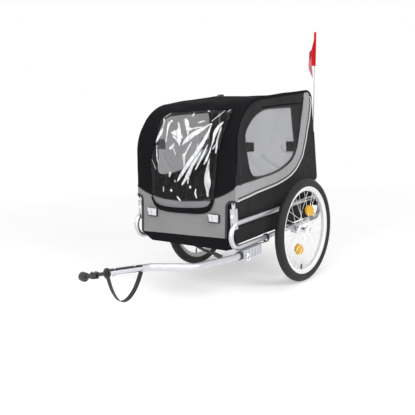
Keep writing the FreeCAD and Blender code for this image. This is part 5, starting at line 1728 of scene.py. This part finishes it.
@dataclass
class Straps:
    """Webbing: the safety strap that hangs in a loop under the hitch arm, and the tether from hem to receiver."""

    outfit: Outfit
    axle_y: float
    eye: tuple[float, float, float] = (0.105, -1.205, 0.311)
    nose: tuple[float, float, float] = (0.149, -0.907, 0.275)
    arm_radius: float = 0.011
    width: float = 0.025
    thickness: float = 0.0025
    route: tuple[tuple[float, float], ...] = (
        (0.200, 0.0), (0.192, 0.024), (0.178, 0.058), (0.154, 0.094), (0.132, 0.107), (0.104, 0.101),
        (0.074, 0.071), (0.054, 0.030), (0.044, 0.0))

    def build(self) -> None:
        """Make both straps."""
        start = np.array(self.nose) + (0.0, self.axle_y, 0.0)
        along = np.array(self.eye) - np.array(self.nose)
        along = along / np.linalg.norm(along)
        across = np.cross((0.0, 0.0, 1.0), along)
        across = across / np.linalg.norm(across)
        up = np.cross(along, across)
        places = smoothed(np.array(self.route), 90, 3)
        path = start + places[:, :1] * along - (places[:, 1:] + self.arm_radius + self.thickness / 2.0) * up
        facing = np.cross(across, np.gradient(path, axis=0))
        ribbon = round_profile(self.width, self.thickness, 14, 5.0)
        loop = swept_surface("safety_strap_loop", path, ribbon, facing)
        self.outfit.dress(loop, "strap", "chassis", ["safety_strap"])
        stations = np.linspace(self.route[-1][0], self.route[0][0], 40)[:, None]
        path = start + stations * along + (self.arm_radius + self.thickness / 2.0 + 0.0004) * up
        cover = swept_surface("safety_strap_cover", path, round_profile(0.018, self.thickness, 14, 5.0), up)
        self.outfit.dress(cover, "strap", "chassis")
        low, high = (np.array(corner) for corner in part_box("tether_strap"))
        depth = (low[1] + high[1]) / 2.0
        share = np.linspace(0.0, 1.0, 40)[:, None]
        ends = np.array([[low[0] + 0.002, depth, high[2] - 0.0075], [high[0] - 0.002, depth, low[2] + 0.0075]])
        sag = 0.004 * np.sin(np.pi * share) * np.array([0.0, 0.0, 1.0])
        path = ends[0] * (1.0 - share) + ends[1] * share - sag
        tether = swept_surface("tether_webbing", path, round_profile(0.0025, 0.014, 14, 5.0), (0.0, 0.0, 1.0))
        self.outfit.dress(tether, "strap", "chassis", ["tether_strap"])


@dataclass
class Fittings:
    """Small fittings: a stowed strap round the lower rail, and the frames, offset as painted shade, and ribs of the
    front reflectors.
    """

    cabin: Cabin
    rail: tuple[float, float] = (0.274, 0.264)
    loop_size: tuple[float, float] = (0.0135, 0.0180)
    loop_y: float = -0.262
    tail: tuple[tuple[float, float, float], ...] = (
        (0.275, -0.256, 0.2455), (0.277, -0.285, 0.2485), (0.277, -0.315, 0.2515), (0.276, -0.352, 0.2545))
    rib_share: float = 0.41

    def build(self, reflectors: bpy.types.Object) -> None:
        """Make the strap and dress the reflectors.

        Args:
            reflectors: The node of both front reflectors.
        """
        outfit, shape = self.cabin.outfit, self.cabin.shape
        turn = np.linspace(0.0, 2.0 * np.pi, 49)[:-1]
        ring = np.stack([np.sin(turn), np.zeros(48), np.cos(turn)], axis=1)
        middle = np.array([self.rail[0], self.loop_y + shape.axle_y, self.rail[1]])
        path = middle + ring * np.array([self.loop_size[0], 0.0, self.loop_size[1]])
        loop = swept_surface("stowed_strap", path, round_profile(0.016, 0.0028, 14, 5.0), ring, closed=True)
        outfit.dress(loop, "strap", "chassis")
        path = smoothed(np.array(self.tail), 60, 3) + np.array([0.0, shape.axle_y, 0.0])
        tail = swept_surface("stowed_strap_tail", path, round_profile(0.012, 0.0040, 14, 4.0), (0.4, 0.0, -0.9))
        outfit.dress(tail, "strap", "chassis")
        points = np.zeros(3 * len(reflectors.data.vertices))
        reflectors.data.vertices.foreach_get("co", points)
        turned = np.array(reflectors.matrix_world)
        points = points.reshape(-1, 3) @ turned[:3, :3].T + turned[:3, 3]
        for side in Side:
            self.frame(side, points[points[:, 0] * side.value > 0.0])

    def frame(self, side: Side, points: Array) -> None:
        """Frame one front reflector in black, shifted down and towards +X as painted shade, and divide its lens with
        a rib.

        Args:
            side: Which side.
            points: The reflector's corners in the frame.
        """
        shape = self.cabin.shape
        low, high = points.min(axis=0), points.max(axis=0)
        lift = float((shape.wrap(shape.front_s(points[:, 2]), points[:, 0])[:, 1] - points[:, 1]).max())
        corners = [(low[0], low[2]), (high[0], low[2]), (high[0], high[2]), (low[0], high[2])]
        # The black frame is shifted 1.2 mm down and towards +X, so it shows mostly along those edges: painted shade
        # of the lens.
        edge = resampled(rounded_line(corners, [0.004] * 4, closed=True), 121)[:-1] + np.array([0.0012, -0.0012])
        loop = np.stack([edge[:, 0], shape.front_s(edge[:, 1])], axis=1)
        self.cabin.wrap_tape("reflector_frame_and_shade_" + side.word, loop, (0.0045, lift), "black plastic",
                             lift=lift / 2.0 - 0.0005, closed=True, folds=False)
        across = low[0] + self.rib_share * (high[0] - low[0])
        heights = np.linspace(low[2] + 0.002, high[2] - 0.002, 24)
        rib = np.stack([np.full(24, across), shape.front_s(heights)], axis=1)
        self.cabin.wrap_tape("reflector_rib_" + side.word, rib, (0.0035, 0.0016), "zinc", lift=lift, folds=False)


@dataclass
class Pennant:
    """Limp red pennant: a sleeve on the pole, the near fold of the flag and its tip hanging behind."""

    outfit: Outfit
    sleeve_length: float = 0.165
    sleeve_radius: float = 0.0052
    near_edge: tuple[tuple[float, float], ...] = (
        (0.006, -0.022), (0.030, -0.058), (0.052, -0.100), (0.051, -0.128), (0.026, -0.166))
    tip_edges: tuple[tuple[tuple[float, float], ...], ...] = (
        ((0.030, -0.085), (0.037, -0.130), (0.032, -0.169), (0.012, -0.226)),
        ((0.050, -0.096), (0.055, -0.128), (0.064, -0.188), (0.014, -0.228)))

    def build(self) -> None:
        """Make the sleeve, the near fold and the hanging tip."""
        low, high = (np.array(corner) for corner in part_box("flag_pole"))
        radius = (high[0] - low[0]) / 2.0
        middle = (low[0] + high[0]) / 2.0
        top = np.array([middle, high[1] - radius, high[2]])
        up = top - np.array([middle, low[1] + radius, low[2]])
        up = up / np.linalg.norm(up)
        path = top + np.linspace(0.0008, -self.sleeve_length, 40)[:, None] * up
        tube = round_profile(2.0 * self.sleeve_radius, 2.4 * self.sleeve_radius, 16)
        sleeve = swept_surface("pennant_sleeve", path, tube, (1.0, 0.0, 0.0))
        self.outfit.dress(sleeve, "red cloth", "flag")
        hoist = np.stack([np.full(60, 0.004), np.linspace(-0.020, -self.sleeve_length, 60)], axis=1)
        near = between(hoist, smoothed(np.array(self.near_edge), 60, 3), 24)
        self.sheet("pennant_near", near, top, up, 0.005, "red cloth", ["flag"])
        lines = [smoothed(np.array(edge), 60, 3) for edge in self.tip_edges]
        self.sheet("pennant_tip", between(*lines, 16), top, up, -0.004, "thin red cloth", [])

    def sheet(self, name: str, places: Array, top: Array, up: Array, swell: float, finish: str,
              nodes: Sequence[str]) -> None:
        """One hanging part of the flag.

        Args:
            name: Name of the object.
            places: Grid of distances (forward from the pole, up from its top).
            top: Top of the pole.
            up: The pole's upward way.
            swell: Sideways bulge of the cloth.
            finish: Name of the finish.
            nodes: Nodes that it stands for.
        """
        out, rise = places[..., 0], places[..., 1]
        wave = swell * np.sin(np.clip(out / 0.05, 0.0, 1.2) * 2.4 + rise * 18.0) + swell * 0.4
        forward, aside = np.array([0.0, -1.0, 0.0]), np.array([1.0, 0.0, 0.0])
        points = top + rise[..., None] * up + out[..., None] * forward + wave[..., None] * aside
        piece = surface_object(name, points, places)
        self.outfit.dress(piece, finish, "flag", nodes)
        self.outfit.declare(piece, ["flag_pole"], "hung")


# Assembly


FINISHES: dict[str, tuple[object, str]] = {
    "black cloth": (WovenCloth("black cloth", (0.0108, 0.0108, 0.0126), (0.0202, 0.0202, 0.0232),
                               sheen=0.0, gloss=0.01), "black_cloth"),
    "tub cloth": (WovenCloth("tub cloth", (0.0132, 0.0132, 0.0146), (0.0255, 0.0255, 0.0283),
                             sheen=0.04, gloss=0.16), "black_cloth"),
    "grey apron": (WovenCloth("grey apron", (0.255, 0.255, 0.26), (0.31, 0.31, 0.315)), "grey_cloth"),
    "grey band": (WovenCloth("grey band", (0.38, 0.38, 0.39), (0.47, 0.47, 0.48)), "grey_cloth"),
    "window net": (WindowNet("window net", (0.60, 0.605, 0.63), (0.52, 0.525, 0.55), open_share=0.0), "mesh"),
    "red cloth": (WovenCloth("red cloth", (0.66, 0.010, 0.016), (0.74, 0.02, 0.026),
                             sheen=0.02, gloss=0.2), "red_cloth"),
    "thin red cloth": (WovenCloth("thin red cloth", (0.62, 0.16, 0.22), (0.72, 0.24, 0.30)), "red_cloth"),
    "thread": (MouldedPlastic("thread", (0.03, 0.03, 0.034), (0.05, 0.05, 0.055), 0.6), "black_cloth"),
    "strap": (Webbing("strap", (0.0045, 0.0045, 0.005), (0.012, 0.012, 0.013)), "black_cloth"),
    "binding": (Webbing("binding", (0.012, 0.012, 0.014), (0.03, 0.03, 0.033), 0.0011), "black_cloth"),
    "piping": (Webbing("piping", (0.76, 0.76, 0.77), (0.66, 0.66, 0.68), 0.0012), "grey_cloth"),
    # The clear sheet's pale colour also paints the highlights along its folds.
    "clear sheet": (ClearSheet("clear sheet", (0.90, 0.91, 0.93)), "clear"),
    "zinc": (PlatedSteel("zinc", (0.59, 0.595, 0.63), (0.49, 0.495, 0.53), 0.36), "zinc"),
    "chrome": (PlatedSteel("chrome", (0.92, 0.925, 0.93), (0.82, 0.825, 0.83), 0.24), "chrome"),
    "tyre": (TyreRubber("tyre", (0.006, 0.006, 0.0065), (0.015, 0.015, 0.0155)), "tyre"),
    "rim": (MouldedPlastic("rim", (0.93, 0.93, 0.935), (0.86, 0.86, 0.87), 0.34, 900.0, 0.3), "rim"),
    "black plastic": (MouldedPlastic("black plastic", (0.016, 0.016, 0.017), (0.045, 0.045, 0.045)),
                      "black_plastic"),
    "board": (MouldedPlastic("board", (0.03, 0.03, 0.03), (0.06, 0.06, 0.06), 0.6), "board"),
    "pole": (MouldedPlastic("pole", (0.66, 0.66, 0.67), (0.52, 0.52, 0.53), 0.35), "pole"),
    "white lens": (ReflectorLens("white lens", (0.86, 0.865, 0.88), (0.72, 0.725, 0.745)), "white_lens"),
    "amber lens": (ReflectorLens("amber lens", (0.92, 0.54, 0.004), (0.80, 0.42, 0.003)), "amber_lens"),
}


NODE_FINISHES: dict[str, str] = {
    "zinc": "zinc", "chrome": "chrome", "tyre": "tyre", "rim": "rim", "black_cloth": "strap",
    "grey_cloth": "grey apron", "mesh": "window net", "clear": "clear sheet",
    "black_plastic": "black plastic", "white_lens": "white lens",
    "amber_lens": "amber lens", "board": "board", "pole": "pole", "red_cloth": "red cloth",
}


def dress_nodes(frame: dict, materials: dict[str, bpy.types.Material]) -> None:
    """Give every node of the frame the finish of its record slot.

    Args:
        frame: The loaded frame.
        materials: Finishes by name.
    """
    slots = {part["node"]: part["material_slot"] for part in frame["record"]["subparts"]}
    for name, node in frame["nodes"].items():
        finish = materials[NODE_FINISHES[slots[name]]]
        for place in node.material_slots:
            place.material = finish
        if not node.material_slots:
            node.data.materials.append(finish)


def main() -> None:
    """Load the frame, dress every node and add the sewn pieces."""
    logging.basicConfig(level=logging.INFO, format="%(message)s")
    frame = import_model()
    low, high = (np.array(corner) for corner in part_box("left_axle"))
    axle_y = float((low[1] + high[1]) / 2.0)
    materials = {name: finish.material() for name, (finish, _) in FINISHES.items()}
    slots = {name: slot for name, (_, slot) in FINISHES.items()}
    dress_nodes(frame, materials)
    Studio(axle_y).build()
    shape = CabinShape(axle_y)
    outfit = Outfit(materials, slots, shape.tub_top)
    cabin = Cabin(shape, outfit)
    cabin.build()
    FrontCover(cabin).build()
    RearDoor(cabin).build()
    Straps(outfit, axle_y).build()
    Fittings(cabin).build(frame["nodes"]["front_reflectors"])
    Pennant(outfit).build()


if __name__ == "__main__":
    main()
